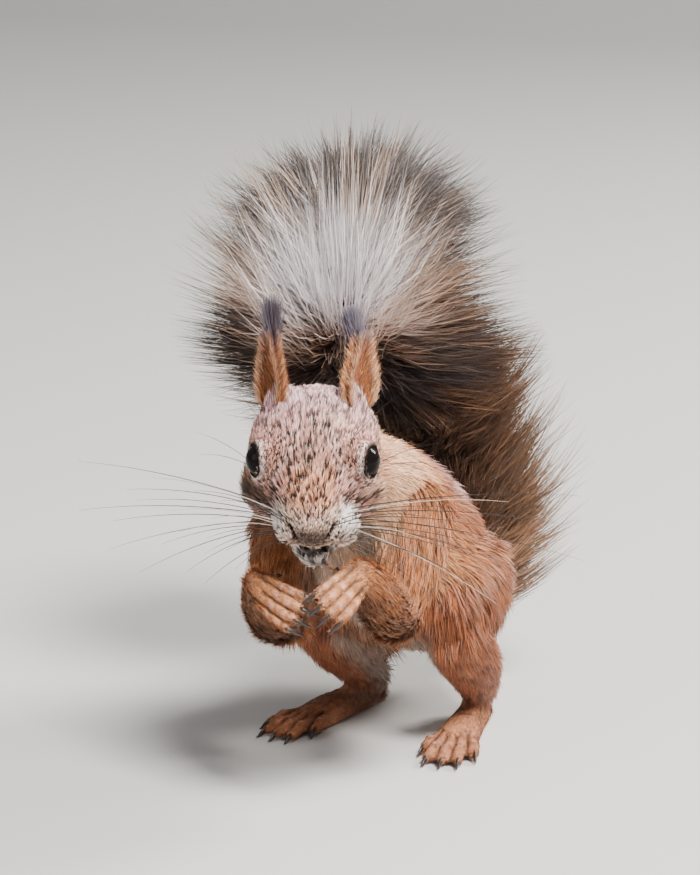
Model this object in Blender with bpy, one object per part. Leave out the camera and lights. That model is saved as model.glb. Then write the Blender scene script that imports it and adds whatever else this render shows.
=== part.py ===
"""A red squirrel, life size, crouched on its haunches with its hands together under its chin.

The squirrel faces -Y, its left side is towards +X and the floor is at Z = 0. The solids reach to
the tips of the coat. Sizes are in millimetres and every mesh is scaled to metres as it is made.
"""

import math

import bmesh
import bpy
from mathutils import Matrix, Vector

MM = 0.001
GAP = 0.3  # left between neighbouring solids
SIDES = {"left": 1, "right": -1}

# Head, measured from the point midway between the eyes.
EYE_HEIGHT = 102.6
HEAD_YAW = math.radians(16)
HEAD_PITCH = math.radians(28)
EYE_RADIUS = 5.4
EYE_CENTRE = (0.5, 13.2, 0.0)  # forward, sideways and up in the head's own axes
EAR_ROOT = (-17.0, 12.8, 9.0)
EAR_LEAN = (-0.62, 0.03, 0.78)  # the way the ear points, in the head's own axes
EAR_LENGTH = 28.0  # with its tuft
EAR_THICKNESS = 1.5
# Along the ear: how far up it as a share, half width, depth of the hollow.
EAR_ROWS = (
    (0.0, 5.4, 2.6),
    (0.14, 6.7, 3.2),
    (0.3, 6.6, 2.8),
    (0.45, 5.0, 1.8),
    (0.58, 2.6, 0.8),
    (0.75, 1.5, 0.3),
    (1.0, 0.7, 0.1),
)

# Along the head: distance ahead of the eyes, half width, top, widest level, bottom.
HEAD_ROWS = (
    (22.6, 1.8, -7.5, -9.6, -11.6),
    (21.2, 5.4, -4.2, -9.8, -14.4),
    (17.5, 8.4, -0.4, -9.8, -17.0),
    (12.0, 11.8, 3.2, -10.8, -18.0),
    (5.5, 16.4, 6.6, -12.0, -19.6),
    (-1.0, 19.2, 10.0, -12.0, -21.5),
    (-7.5, 20.4, 12.2, -10.5, -22.0),
    (-14.0, 20.0, 12.6, -8.0, -21.0),
    (-20.0, 17.4, 10.4, -5.5, -18.5),
    (-25.5, 12.0, 6.5, -3.5, -13.0),
    (-28.5, 4.0, 1.0, -2.5, -5.5),
)
JAW_ROWS = (
    (18.0, 1.6, -21.2, -22.9, -24.6),
    (16.6, 4.2, -19.8, -22.9, -26.2),
    (12.5, 6.6, -18.6, -22.6, -27.0),
    (6.0, 9.2, -18.0, -22.4, -27.0),
    (-1.0, 11.6, -18.5, -22.0, -26.5),
    (-8.0, 12.6, -18.5, -21.5, -26.0),
    (-14.0, 8.0, -18.0, -21.0, -24.5),
)
PAD_CENTRE = (15.5, 6.8, -11.8)  # whisker pad beside the nose
PAD_RADII = (7.0, 5.6, 5.4)
# Height of each long whisker's root on its pad, then its tip: out, back and up from the root.
WHISKER_REACHES = (
    (1.5, 54, 14, 12),
    (0.8, 66, 12, 1),
    (0.0, 58, 14, -8),
    (-0.9, 50, 12, -19),
    (-1.8, 36, 8, -22),
)
NOSE_CENTRE = (21.7, 0.0, -8.4)
NOSE_RADII = (2.3, 3.4, 2.4)

# Along the spine: behind the eyes, height, half width, depth above and below the line.
SPINE_ROWS = (
    (4.0, 102.0, 12.5, 10.0, 12.0),
    (14.0, 98.0, 15.5, 13.0, 15.0),
    (27.0, 90.5, 18.5, 16.0, 18.0),
    (42.0, 81.5, 21.5, 20.5, 22.0),
    (57.0, 71.5, 24.5, 24.0, 27.0),
    (72.0, 60.5, 27.0, 26.0, 28.5),
    (87.0, 48.0, 26.5, 25.0, 27.0),
    (100.0, 34.0, 22.0, 20.0, 20.0),
    (109.0, 22.0, 14.0, 12.0, 12.0),
    (114.0, 14.0, 5.0, 4.0, 4.0),
)
NECK_SHARE = 0.27  # the neck's share of the spine rows

# Limbs: joint centres (sideways, back, up) and the radius there, for each side.
THIGH_ROWS = {
    "left": ((15, 102, 35, 9), (17.5, 90, 42, 16), (18.5, 75, 45, 16), (21, 61, 44, 12), (22, 51, 42, 6)),
    "right": ((15, 102, 35, 9), (17.5, 90, 42, 16), (18, 76, 45, 16), (19.5, 63, 44, 12), (20, 53, 42, 6)),
}
SHANK_ROWS = {
    "left": ((22, 56, 41, 9), (23, 66, 32, 11.5), (23, 78, 22, 10.5), (22, 89, 13, 8), (21, 95, 8, 6)),
    "right": ((20, 58, 41, 9), (20, 68, 32, 11.5), (18, 80, 22, 10.5), (15, 92, 13, 8), (14, 98, 8, 6)),
}
UPPER_ARM_ROWS = {
    "left": ((14, 46, 84, 9), (17, 38, 79, 13), (18, 31, 68, 12), (17, 25, 57, 10), (16, 21, 50, 7)),
    "right": ((14, 42, 84, 9), (17, 34, 79, 13), (18, 26, 68, 12), (16, 19, 57, 10), (15, 15, 50, 7)),
}
FOREARM_ROWS = {
    "left": ((17, 29, 50, 7), (17, 22, 53, 10), (16, 13, 59.5, 9), (14.8, 7.5, 65.5, 6.5), (13.5, 4, 69, 4.5)),
    "right": ((15, 22, 48, 7), (15.5, 15, 51, 10), (16, 7, 57, 9), (16, 0, 62, 6.5), (15.5, -3.5, 65, 4.5)),
}
WRIST = {"left": (13.5, 4.0, 70.0), "right": (-16.0, -3.5, 66.0)}
FINGER_AIM = {"left": (10.9, -11.0, 66.1), "right": (-3.9, -13.1, 62.7)}
BACK_OF_HAND = {"left": (0.62, -0.40, 0.56), "right": (-0.54, -0.74, 0.39)}
HEEL = {"left": (20.5, 99.0), "right": (-13.0, 103.0)}
TOE_AIM = {"left": (24.0, 42.0), "right": (-31.0, 50.0)}
# How each finger splays, its sideways place and height at the palm, and its first bone's length.
FINGERS = (
    (-0.10, -4.2, -0.1, 4.6),
    (-0.03, -1.4, 0.3, 5.2),
    (0.04, 1.4, 0.25, 5.3),
    (0.12, 4.2, -0.2, 4.7),
)
# Along the foot: distance from the heel, half width, top.
FOOT_ROWS = (
    (1.0, 3.0, 6.0),
    (4.0, 4.6, 10.0),
    (12.0, 5.2, 10.5),
    (22.0, 5.6, 8.6),
    (32.0, 6.6, 7.4),
    (40.0, 7.2, 6.2),
    (44.0, 6.2, 4.6),
)
# Sideways place of each toe from the inner to the outer, how it splays, and its length.
TOES = (
    (-5.0, -0.30, 3.2),
    (-2.9, -0.14, 4.9),
    (0.0, 0.0, 5.2),
    (2.9, 0.14, 4.9),
    (5.2, 0.30, 3.9),
)

# Along the tail: the line that its bones follow, then the half width of the brush, its depth
# on its upper side, which faces forwards while the tail rises, and on its under side, and how
# many degrees it is turned to the left.
TAIL_ROWS = (
    (0, 106, 26, 9, 8, 8, 0),
    (0, 119, 33, 19, 13, 12, 0),
    (-1, 128, 47, 27, 16, 15, 0),
    (-4, 130, 65, 33, 18, 16, 2),
    (-12, 124, 85, 40, 21, 17, 7),
    (-20, 110, 103, 46, 25, 18, 12),
    (-20, 92, 117, 48, 29, 16, 15),
    (-17, 78, 129, 48, 34, 13, 17),
    (-15, 73, 142, 48, 37, 12, 18),
    (-16, 81, 153, 45, 34, 12, 18),
    (-19, 96, 157, 38, 27, 13, 18),
    (-23, 113, 153, 28, 19, 12, 18),
    (-27, 129, 143, 14, 10, 8, 18),
    (-29, 135, 137, 3, 3, 3, 18),
)
TAIL_NAMES = ("tail_root", "tail_lower", "tail_middle", "tail_bend", "tail_end")

FUR_RED = (0.42, 0.13, 0.04, 1)
FUR_GREY = (0.36, 0.24, 0.19, 1)
FUR_WHITE = (0.62, 0.58, 0.52, 1)
FUR_DARK = (0.10, 0.05, 0.035, 1)
EYE_BLACK = (0.01, 0.01, 0.012, 1)
NOSE_PINK = (0.40, 0.24, 0.20, 1)


def clear_scene():
    for obj in list(bpy.data.objects):
        bpy.data.objects.remove(obj)


def material(name, colour, roughness=0.85):
    made = bpy.data.materials.new(name)
    made.use_nodes = True
    shader = made.node_tree.nodes["Principled BSDF"]
    shader.inputs["Base Color"].default_value = colour
    shader.inputs["Roughness"].default_value = roughness
    shader.inputs["Metallic"].default_value = 0.0
    return made


def smooth_rows(rows, count):
    """The rows resampled on a Catmull-Rom curve, so that a few stations give a round shape."""
    last = len(rows) - 1
    made = []
    for i in range(count):
        place = i / (count - 1) * last
        k = min(int(place), last - 1)
        t = place - k
        p0, p1, p2, p3 = (rows[max(0, min(last, j))] for j in (k - 1, k, k + 1, k + 2))
        made.append(
            tuple(
                b
                + 0.5 * t * (c - a + t * (2 * a - 5 * b + 4 * c - d + t * (3 * (b - c) + d - a)))
                for a, b, c, d in zip(p0, p1, p2, p3)
            )
        )
    return made


class Ring:
    """A cross-section: its centre, its sideways and upward directions and how far it reaches."""

    def __init__(self, centre, side, up, width, top, bottom, fullness=2.0):
        self.centre, self.side, self.up = Vector(centre), Vector(side), Vector(up)
        self.width, self.top, self.bottom, self.fullness = width, top, bottom, fullness

    def corners(self, count, grow):
        made = []
        for k in range(count):
            angle = 2 * math.pi * k / count
            c, s = math.cos(angle), math.sin(angle)
            across = math.copysign(abs(c) ** (2 / self.fullness), c) * (self.width + grow)
            reach = (self.top if s > 0 else self.bottom) + grow
            along = math.copysign(abs(s) ** (2 / self.fullness), s) * reach
            made.append(self.centre + self.side * across + self.up * along)
        return made


def mesh_object(name, mesh, look, hidden=False):
    obj = bpy.data.objects.new(name, mesh)
    bpy.context.scene.collection.objects.link(obj)
    if look:
        mesh.materials.append(look)
    if hidden:
        obj.hide_render = True
        obj.display_type = "WIRE"
    else:
        mesh.shade_smooth()
        mesh.set_sharp_from_angle(angle=math.radians(50))
    return obj


def loft(name, rings, corners, look, grow=0.0, hidden=False):
    """A closed body through the rings, each end closed by a fan round its centre."""
    made = bmesh.new()
    first, last = rings[0], rings[-1]
    rows = [[made.verts.new(p * MM) for p in ring.corners(corners, grow)] for ring in rings]
    ahead = (first.centre - rings[1].centre).normalized()
    behind = (last.centre - rings[-2].centre).normalized()
    ends = [made.verts.new((e.centre + away * grow) * MM) for e, away in ((first, ahead), (last, behind))]
    for a, b in zip(rows, rows[1:]):
        for k in range(corners):
            made.faces.new((a[k], a[(k + 1) % corners], b[(k + 1) % corners], b[k]))
    for k in range(corners):
        made.faces.new((rows[0][(k + 1) % corners], rows[0][k], ends[0]))
        made.faces.new((rows[-1][k], rows[-1][(k + 1) % corners], ends[1]))
    if made.calc_volume(signed=True) < 0:
        bmesh.ops.reverse_faces(made, faces=made.faces)
    mesh = bpy.data.meshes.new(name)
    made.to_mesh(mesh)
    made.free()
    return mesh_object(name, mesh, look, hidden)


def boolean(target, other, operation, label):
    step = target.modifiers.new(label, "BOOLEAN")
    step.operation = operation
    step.solver = "EXACT"
    step.object = other
    return step


def keep_clear(target, *others, solver="EXACT"):
    """Cuts the target back from the others, which are hidden copies grown by the gap."""
    for other in others:
        boolean(target, other, "DIFFERENCE", "clear of " + other.name).solver = solver


def join_to(target, pieces, solver="EXACT"):
    """Joins the pieces to the target as one body."""
    for piece in pieces:
        piece.hide_render = True
        piece.display_type = "WIRE"
        boolean(target, piece, "UNION", "with " + piece.name).solver = solver


class Axes:
    """A local frame: forwards, to the left and up, with an origin."""

    def __init__(self, origin, forward, up_hint):
        self.origin = Vector(origin)
        self.forward = Vector(forward).normalized()
        self.left = Vector(up_hint).cross(self.forward).normalized()
        self.up = self.forward.cross(self.left).normalized()

    def point(self, forward, left, up):
        return self.origin + self.direction(forward, left, up)

    def direction(self, forward, left, up):
        return self.forward * forward + self.left * left + self.up * up


def path_rings(points, widths, heights, up_hint, fullness=2.0):
    """Rings across a path, each square to the way that the path runs there."""
    rings = []
    for i, point in enumerate(points):
        along = (points[min(i + 1, len(points) - 1)] - points[max(i - 1, 0)]).normalized()
        side = Vector(up_hint).cross(along).normalized()
        rings.append(
            Ring(point, side, along.cross(side), widths[i], heights[i], heights[i], fullness)
        )
    return rings


def head_axes():
    forward = Vector(
        (
            math.sin(HEAD_YAW) * math.cos(HEAD_PITCH),
            -math.cos(HEAD_YAW) * math.cos(HEAD_PITCH),
            -math.sin(HEAD_PITCH),
        )
    )
    left = Vector((math.cos(HEAD_YAW), math.sin(HEAD_YAW), 0))
    return Axes((0, 0, EYE_HEIGHT), forward, forward.cross(left))


def profile_rings(axes, rows, count, fullness):
    rings = []
    for along, width, top, middle, bottom in smooth_rows(rows, count):
        centre = axes.point(along, 0, middle)
        rings.append(Ring(centre, axes.left, axes.up, width, top - middle, middle - bottom, fullness))
    return rings


def ball(name, centre, radii, axes, look, segments, rings, grow=0.0, hidden=False):
    made = bmesh.new()
    bmesh.ops.create_uvsphere(made, u_segments=segments, v_segments=rings, radius=1)
    turn = Matrix((axes.forward, axes.left, axes.up)).transposed().to_4x4()
    size = Matrix.Diagonal(Vector([(r + grow) * MM for r in radii] + [1]))
    bmesh.ops.transform(made, matrix=Matrix.Translation(centre * MM) @ turn @ size, verts=made.verts)
    mesh = bpy.data.meshes.new(name)
    made.to_mesh(mesh)
    made.free()
    return mesh_object(name, mesh, look, hidden)


def make_eyes(axes, look):
    """The two eyeballs, and the hidden copies that cut their sockets."""
    sockets = []
    for side, sign in SIDES.items():
        forward, sideways, up = EYE_CENTRE
        centre = axes.point(forward, sideways * sign, up)
        radii = [EYE_RADIUS] * 3
        ball("eye_" + side, centre, radii, axes, look, 12, 8)
        sockets.append(ball("eye_socket_" + side, centre, radii, axes, None, 12, 8, GAP, True))
    return sockets


def whisker(name, root, tip, droop, look):
    """A stiff hair from root to tip, sagging by droop in the middle."""
    steps = 5
    points, radii = [], []
    for i in range(steps):
        t = i / (steps - 1)
        points.append(root.lerp(tip, t) + Vector((0, 0, droop * 4 * t * (1 - t))))
        radii.append(0.42 - 0.12 * t)
    return loft(name, path_rings(points, radii, radii, (0, 0, 1)), 5, look)


def make_whisker_pads(axes, look):
    """The pads beside the nose, each with its longest whiskers, and the copies that cut them in."""
    clearances = []
    for side, sign in SIDES.items():
        forward, sideways, up = PAD_CENTRE
        centre = axes.point(forward, sideways * sign, up)
        pad = ball("whisker_pad_" + side, centre, PAD_RADII, axes, look, 10, 6)
        hairs = []
        for i, (height, out, back, rise) in enumerate(WHISKER_REACHES):
            root = centre + axes.direction(-1.0, 3.4 * sign, height)
            tip = root + Vector((out * sign, back, rise))
            hairs.append(whisker(f"whisker_{side}_{i}", root, tip, 4.0, look))
        join_to(pad, hairs)
        clearances.append(ball("pad_room_" + side, centre, PAD_RADII, axes, None, 10, 6, GAP, True))
    return clearances


def make_ear(axes, side, look):
    """A leaf-shaped shell, hollow towards the front and side, that ends in a tuft."""
    sign = SIDES[side]
    root = axes.point(EAR_ROOT[0], EAR_ROOT[1] * sign, EAR_ROOT[2])
    lean = axes.direction(EAR_LEAN[0], EAR_LEAN[1] * sign, EAR_LEAN[2]).normalized()
    facing = axes.direction(0.62, 0.78 * sign, 0.0)
    facing = (facing - lean * facing.dot(lean)).normalized()
    across = lean.cross(facing)
    steps, columns = 8, 6
    made = bmesh.new()
    grid = []
    for up, half, hollow in smooth_rows(EAR_ROWS, steps):
        row = []
        for k in range(columns):
            u = 2 * k / (columns - 1) - 1
            point = root + lean * up * EAR_LENGTH + across * half * u - facing * hollow * (1 - u * u)
            row.append(made.verts.new(point * MM))
        grid.append(row)
    for a, b in zip(grid, grid[1:]):
        for k in range(columns - 1):
            made.faces.new((a[k], a[k + 1], b[k + 1], b[k]))
    mesh = bpy.data.meshes.new("ear_" + side)
    made.to_mesh(mesh)
    made.free()
    ear = mesh_object("ear_" + side, mesh, look)
    wall = ear.modifiers.new("wall", "SOLIDIFY")
    wall.thickness = EAR_THICKNESS * MM
    wall.offset = 0
    return ear


def spine_rings(count):
    rows = smooth_rows(SPINE_ROWS, count)
    rings = []
    for i, (back, height, width, top, bottom) in enumerate(rows):
        before, after = rows[max(i - 1, 0)], rows[min(i + 1, count - 1)]
        along = Vector((0, after[0] - before[0], after[1] - before[1])).normalized()
        side = Vector((1, 0, 0))
        rings.append(Ring((0, back, height), side, side.cross(along), width, top, bottom, 2.15))
    return rings


def split_rings(rings, at):
    """The rings as two lengths with a gap between them, each keeping its flat cut end."""
    cut = rings[at]
    along = (rings[at + 1].centre - rings[at - 1].centre).normalized()
    ends = [
        Ring(cut.centre + along * d, cut.side, cut.up, cut.width, cut.top, cut.bottom, cut.fullness)
        for d in (-GAP / 2, GAP / 2)
    ]
    return rings[:at] + ends[:1], ends[1:] + rings[at + 1 :]


def limb_rings(rows, sign, count, up_hint=(0, 0.3, 1), deeper=1.0):
    """Rings along a limb. deeper stretches them upwards and downwards."""
    rows = smooth_rows(rows, count)
    points = [Vector((x * sign, y, z)) for x, y, z, r in rows]
    radii = [r for x, y, z, r in rows]
    return path_rings(points, radii, [r * deeper for r in radii], up_hint)


def digit(name, axes, root, heading, lengths, bend, radii, claw, look):
    """A finger or toe whose joints curl down by bend degrees, ending in its claw.

    Also returns the hidden copy that clears its neighbours."""
    points = [axes.point(*root)]
    pitch = 0.0
    for length in (*lengths, 1.0, claw * 0.5, claw * 0.5):
        level = math.cos(pitch)
        step = axes.direction(math.cos(heading) * level, math.sin(heading) * level, -math.sin(pitch))
        points.append(points[-1] + step * length)
        pitch += math.radians(bend if length in lengths else 10)
    sizes = (*radii, 0.9, 0.65, 0.2)
    shape = path_rings(points, sizes, sizes, axes.up)
    return loft(name, shape, 5, look), loft(name + "_room", shape, 5, None, GAP, True)


def make_hand(side, look):
    """The palm, four fingers and a stub of a thumb, and the copies that clear its neighbours."""
    wrist, aim = Vector(WRIST[side]), Vector(FINGER_AIM[side])
    forward = (aim - wrist).normalized()
    back_of_hand = Vector(BACK_OF_HAND[side])
    axes = Axes(wrist, forward, back_of_hand - forward * back_of_hand.dot(forward))
    palm_points = [axes.point(x, 0, z) for x, z in ((-3.0, -0.4), (1.0, 0.3), (5.0, 0.8), (9.0, 0.2))]
    widths, heights = (4.4, 5.0, 5.6, 5.2), (4.0, 3.8, 3.3, 2.4)
    palm_rings = path_rings(palm_points, widths, heights, axes.up)
    palm = loft("hand_" + side, palm_rings, 12, look)
    pieces, rooms = [], [loft("palm_room_" + side, palm_rings, 12, None, GAP, True)]
    for i, (spread, across, height, reach) in enumerate(FINGERS):
        finger, room = digit(
            f"finger_{side}_{i}", axes, (7.0, across, height), spread, (reach, reach * 0.8, reach * 0.6),
            24, (1.6, 1.6, 1.5, 1.25), 4.2, look,
        )
        pieces.append(finger)
        rooms.append(room)
    thumb_side = 1 if side == "right" else -1
    thumb, room = digit(
        "thumb_" + side, axes, (2.5, 3.6 * thumb_side, -1.5), 0.6 * thumb_side, (2.2, 1.6),
        20, (1.5, 1.4, 1.1), 1.6, look,
    )
    # The exact solver loses a finger here, and every piece is closed.
    join_to(palm, [*pieces, thumb], "MANIFOLD")
    return rooms + [room], palm


def make_foot(side, look):
    """A long hind foot with its heel down, and five toes. Returns the copy that clears the shank."""
    sign = SIDES[side]
    heel, toes = Vector((*HEEL[side], 0)), Vector((*TOE_AIM[side], 0))
    axes = Axes(heel, toes - heel, (0, 0, 1))
    rings = []
    for along, width, top in smooth_rows(FOOT_ROWS, 7):
        low = 1.2
        rings.append(Ring(axes.point(along, 0, low), axes.left, axes.up, width, top - low, low + 1.0, 2.4))
    foot = loft("foot_" + side, rings, 12, look)
    pieces = []
    for i, (across, splay, reach) in enumerate(TOES):
        root = (40.0 if i in (1, 2, 3) else 36.5, across * sign, 2.7)
        toe, _ = digit(
            f"toe_{side}_{i}", axes, root, splay * sign, (reach * 1.4, reach * 1.3),
            10, (2.2, 2.1, 1.7), 4.5, look,
        )
        pieces.append(toe)
    join_to(foot, pieces, "MANIFOLD")
    return loft("foot_room_" + side, rings, 12, None, GAP, True), foot


def tail_rings(count):
    rows = smooth_rows(TAIL_ROWS, count)
    rings = []
    for i, (x, y, z, width, upper, under, turn) in enumerate(rows):
        side = Vector((math.cos(math.radians(turn)), math.sin(math.radians(turn)), 0))
        before, after = rows[max(i - 1, 0)], rows[min(i + 1, count - 1)]
        along = Vector([after[k] - before[k] for k in range(3)]).normalized()
        across = (side - along * side.dot(along)).normalized()
        rings.append(Ring((x, y, z), across, along.cross(across), width, under, upper, 2.1))
    return rings


def make_tail(look, rooms):
    rings = tail_rings(25)
    cuts = [round(len(rings) * share) for share in (0.19, 0.38, 0.56, 0.74)]
    rest, done = rings, 0
    for name, cut in zip(TAIL_NAMES, cuts + [None]):
        if cut is None:
            length = rest
        else:
            length, rest = split_rings(rest, cut - done)
            done = cut
        piece = loft(name, length, 18, look)
        if name in TAIL_NAMES[:2]:
            keep_clear(piece, *rooms)


def floor_block():
    """A hidden block under the floor that cuts the flats on which the squirrel rests."""
    made = bmesh.new()
    bmesh.ops.create_cube(made, size=1)
    place = Matrix.Translation((0, 60 * MM, -15 * MM)) @ Matrix.Diagonal((0.4, 0.4, 0.03, 1))
    bmesh.ops.transform(made, matrix=place, verts=made.verts)
    mesh = bpy.data.meshes.new("floor_block")
    made.to_mesh(mesh)
    made.free()
    return mesh_object("floor_block", mesh, None, True)


def centre_over_origin():
    """Moves the whole squirrel so that the origin is on the floor under the middle of its box."""
    graph = bpy.context.evaluated_depsgraph_get()
    shown = [o for o in bpy.data.objects if o.type == "MESH" and not o.hide_render]
    corners = []
    for obj in shown:
        made = obj.evaluated_get(graph)
        corners += [made.matrix_world @ Vector(corner) for corner in made.bound_box]
    middle = [(min(c[k] for c in corners) + max(c[k] for c in corners)) / 2 for k in (0, 1)]
    squirrel = bpy.data.objects.new("squirrel", None)
    bpy.context.scene.collection.objects.link(squirrel)
    for obj in bpy.data.objects:
        if obj.type == "MESH":
            obj.parent = squirrel
    squirrel.location = (-middle[0], -middle[1], 0)


def main():
    clear_scene()
    red = material("red_fur", FUR_RED)
    grey = material("grey_brown_fur", FUR_GREY)
    white = material("white_fur", FUR_WHITE)
    dark = material("dark_tail_fur", FUR_DARK)
    eye_look = material("eye", EYE_BLACK, 0.08)
    nose_look = material("nose", NOSE_PINK, 0.6)
    axes = head_axes()

    sockets = make_eyes(axes, eye_look)
    pad_rooms = make_whisker_pads(axes, white)
    nose_centre = axes.point(*NOSE_CENTRE)
    nose = ball("nose", nose_centre, NOSE_RADII, axes, nose_look, 12, 8)
    nose_room = ball("nose_room", nose_centre, NOSE_RADII, axes, None, 12, 8, GAP, True)

    head_shape = profile_rings(axes, HEAD_ROWS, 14, 2.25)
    head = loft("head", head_shape, 20, grey)
    head_room = loft("head_room", head_shape, 20, None, GAP, True)
    keep_clear(head, *sockets, *pad_rooms, nose_room)
    keep_clear(nose, *pad_rooms)
    jaw_shape = profile_rings(axes, JAW_ROWS, 7, 2.1)
    jaw = loft("lower_jaw", jaw_shape, 12, white)
    jaw_room = loft("jaw_room", jaw_shape, 12, None, GAP, True)
    keep_clear(jaw, head_room, *pad_rooms)
    for side in SIDES:
        keep_clear(make_ear(axes, side, red), head_room)

    spine = spine_rings(15)
    neck_shape, trunk_shape = split_rings(spine, round(15 * NECK_SHARE))
    neck = loft("neck", neck_shape, 18, red)
    trunk = loft("trunk", trunk_shape, 18, grey)
    trunk_room = loft("trunk_room", trunk_shape, 18, None, GAP, True)
    keep_clear(neck, head_room, jaw_room)

    block = floor_block()
    thigh_rooms = []
    for side, sign in SIDES.items():
        thigh_shape = limb_rings(THIGH_ROWS[side], sign, 8, deeper=1.3)
        shank_shape = limb_rings(SHANK_ROWS[side], sign, 6)
        arm_shape = limb_rings(UPPER_ARM_ROWS[side], sign, 6, (0, 1, -0.3))
        forearm_shape = limb_rings(FOREARM_ROWS[side], sign, 6, (0, 1, 0.5))
        loft("thigh_" + side, thigh_shape, 14, red)
        thigh_room = loft("thigh_room_" + side, thigh_shape, 14, None, GAP, True)
        thigh_rooms.append(thigh_room)
        foot_room, foot = make_foot(side, red)
        keep_clear(foot, block)
        shank = loft("shank_" + side, shank_shape, 12, red)
        shank_room = loft("shank_room_" + side, shank_shape, 12, None, GAP, True)
        keep_clear(shank, thigh_room, foot_room, block)
        upper_arm = loft("upper_arm_" + side, arm_shape, 12, red)
        arm_room = loft("arm_room_" + side, arm_shape, 12, None, GAP * 1.5, True)
        hand_rooms, hand = make_hand(side, red)
        forearm = loft("forearm_" + side, forearm_shape, 12, red)
        forearm_room = loft("forearm_room_" + side, forearm_shape, 12, None, GAP, True)
        keep_clear(forearm, arm_room, *hand_rooms)
        keep_clear(trunk, thigh_room, shank_room, arm_room, forearm_room)
        keep_clear(neck, arm_room)
    make_tail(dark, [trunk_room, *thigh_rooms])
    centre_over_origin()


main()
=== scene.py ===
import math

import bmesh
import bpy
import numpy as np
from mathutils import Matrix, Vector
from mathutils.kdtree import KDTree


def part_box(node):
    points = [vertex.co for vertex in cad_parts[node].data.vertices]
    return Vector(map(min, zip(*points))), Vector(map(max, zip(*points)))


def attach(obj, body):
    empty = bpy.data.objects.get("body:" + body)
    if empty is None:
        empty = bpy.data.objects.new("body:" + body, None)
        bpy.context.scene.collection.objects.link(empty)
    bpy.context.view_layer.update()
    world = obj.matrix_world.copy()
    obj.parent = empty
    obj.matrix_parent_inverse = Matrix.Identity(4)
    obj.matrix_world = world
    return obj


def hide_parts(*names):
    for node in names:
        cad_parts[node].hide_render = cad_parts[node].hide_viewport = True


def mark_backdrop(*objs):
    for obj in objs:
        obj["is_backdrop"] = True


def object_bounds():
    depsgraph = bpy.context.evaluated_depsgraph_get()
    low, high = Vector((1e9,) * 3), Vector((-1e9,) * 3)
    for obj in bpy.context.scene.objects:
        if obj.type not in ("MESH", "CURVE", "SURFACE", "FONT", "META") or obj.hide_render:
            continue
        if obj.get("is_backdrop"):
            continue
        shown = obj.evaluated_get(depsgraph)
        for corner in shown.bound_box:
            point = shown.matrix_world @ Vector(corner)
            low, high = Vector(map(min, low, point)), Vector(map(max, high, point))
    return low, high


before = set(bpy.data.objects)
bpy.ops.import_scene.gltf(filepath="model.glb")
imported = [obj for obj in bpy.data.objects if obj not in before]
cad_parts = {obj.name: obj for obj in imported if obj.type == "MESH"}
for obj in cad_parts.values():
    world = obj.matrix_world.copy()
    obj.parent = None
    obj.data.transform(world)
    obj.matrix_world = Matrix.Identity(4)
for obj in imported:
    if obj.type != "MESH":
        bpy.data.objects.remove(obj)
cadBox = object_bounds()
print("frame loaded")

# Lengths are in millimetres. The rows of numbers are measured from a point on the floor under
# the middle of the eyes, which bodyShift moves to its place in the frame.


def middleOf(node):
    lo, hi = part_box(node)
    return np.array((lo + hi) / 2) * 1000


def unit(v):
    return v / (np.linalg.norm(v, axis=-1, keepdims=True) + 1e-12)


headSettings = {"yaw": 16, "pitch": 28, "eyeHeight": 102.6}
sides = {"left": 1, "right": -1}
eyeMiddles = {side: middleOf("eye_" + side) for side in sides}
eyeMid = (eyeMiddles["left"] + eyeMiddles["right"]) / 2
yaw, pitch = math.radians(headSettings["yaw"]), math.radians(headSettings["pitch"])
level = math.cos(pitch)
headForward = np.array((math.sin(yaw) * level, -math.cos(yaw) * level, -math.sin(pitch)))
headLeft = np.array((math.cos(yaw), math.sin(yaw), 0))
headUp = np.cross(headForward, headLeft)
headAxes = np.array((headForward, headLeft, headUp))
headOrigin = eyeMid - headForward * 0.5
bodyShift = headOrigin - np.array((0, 0, headSettings["eyeHeight"]))


def headPoint(forward, sideways, upward):
    return headOrigin + np.array((forward, sideways, upward)) @ headAxes


def headLocal(points):
    return (points - headOrigin) @ headAxes.T


def placed(points):
    return np.array(points, float) + bodyShift


# camera and stage

cameraSettings = {
    "azimuth": 19,
    "elevation": 14,
    "distance": 950,
    # The lens, the eyes' place and the picture's size, all in the picture's own measure.
    "focalLength": 3420,
    "eyePlace": (313, 460),
    "size": (700, 875),
}


def setCamera(azimuth, elevation, distance, focalLength, eyePlace, size):
    a, e = math.radians(azimuth), math.radians(elevation)
    away = np.array((-math.sin(a) * math.cos(e), math.cos(a) * math.cos(e), -math.sin(e)))
    right = np.array((math.cos(a), math.sin(a), 0))
    upward = np.cross(right, away)
    dx = (eyePlace[0] - size[0] / 2) / focalLength * distance
    dy = (size[1] / 2 - eyePlace[1]) / focalLength * distance
    data = bpy.data.cameras.new("camera")
    data.sensor_width = 36
    data.lens = focalLength * data.sensor_width / max(size)
    data.clip_start, data.clip_end = 0.05, 20
    camera = bpy.data.objects.new("camera", data)
    bpy.context.scene.collection.objects.link(camera)
    aim(camera, Vector(eyeMid - away * distance - right * dx - upward * dy) * 0.001, away)
    bpy.context.scene.camera = camera


def aim(made, place, way):
    made.location = place
    made.rotation_mode = "QUATERNION"
    made.rotation_quaternion = Vector(way).to_track_quat("-Z", "Y")


setCamera(**cameraSettings)


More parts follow.
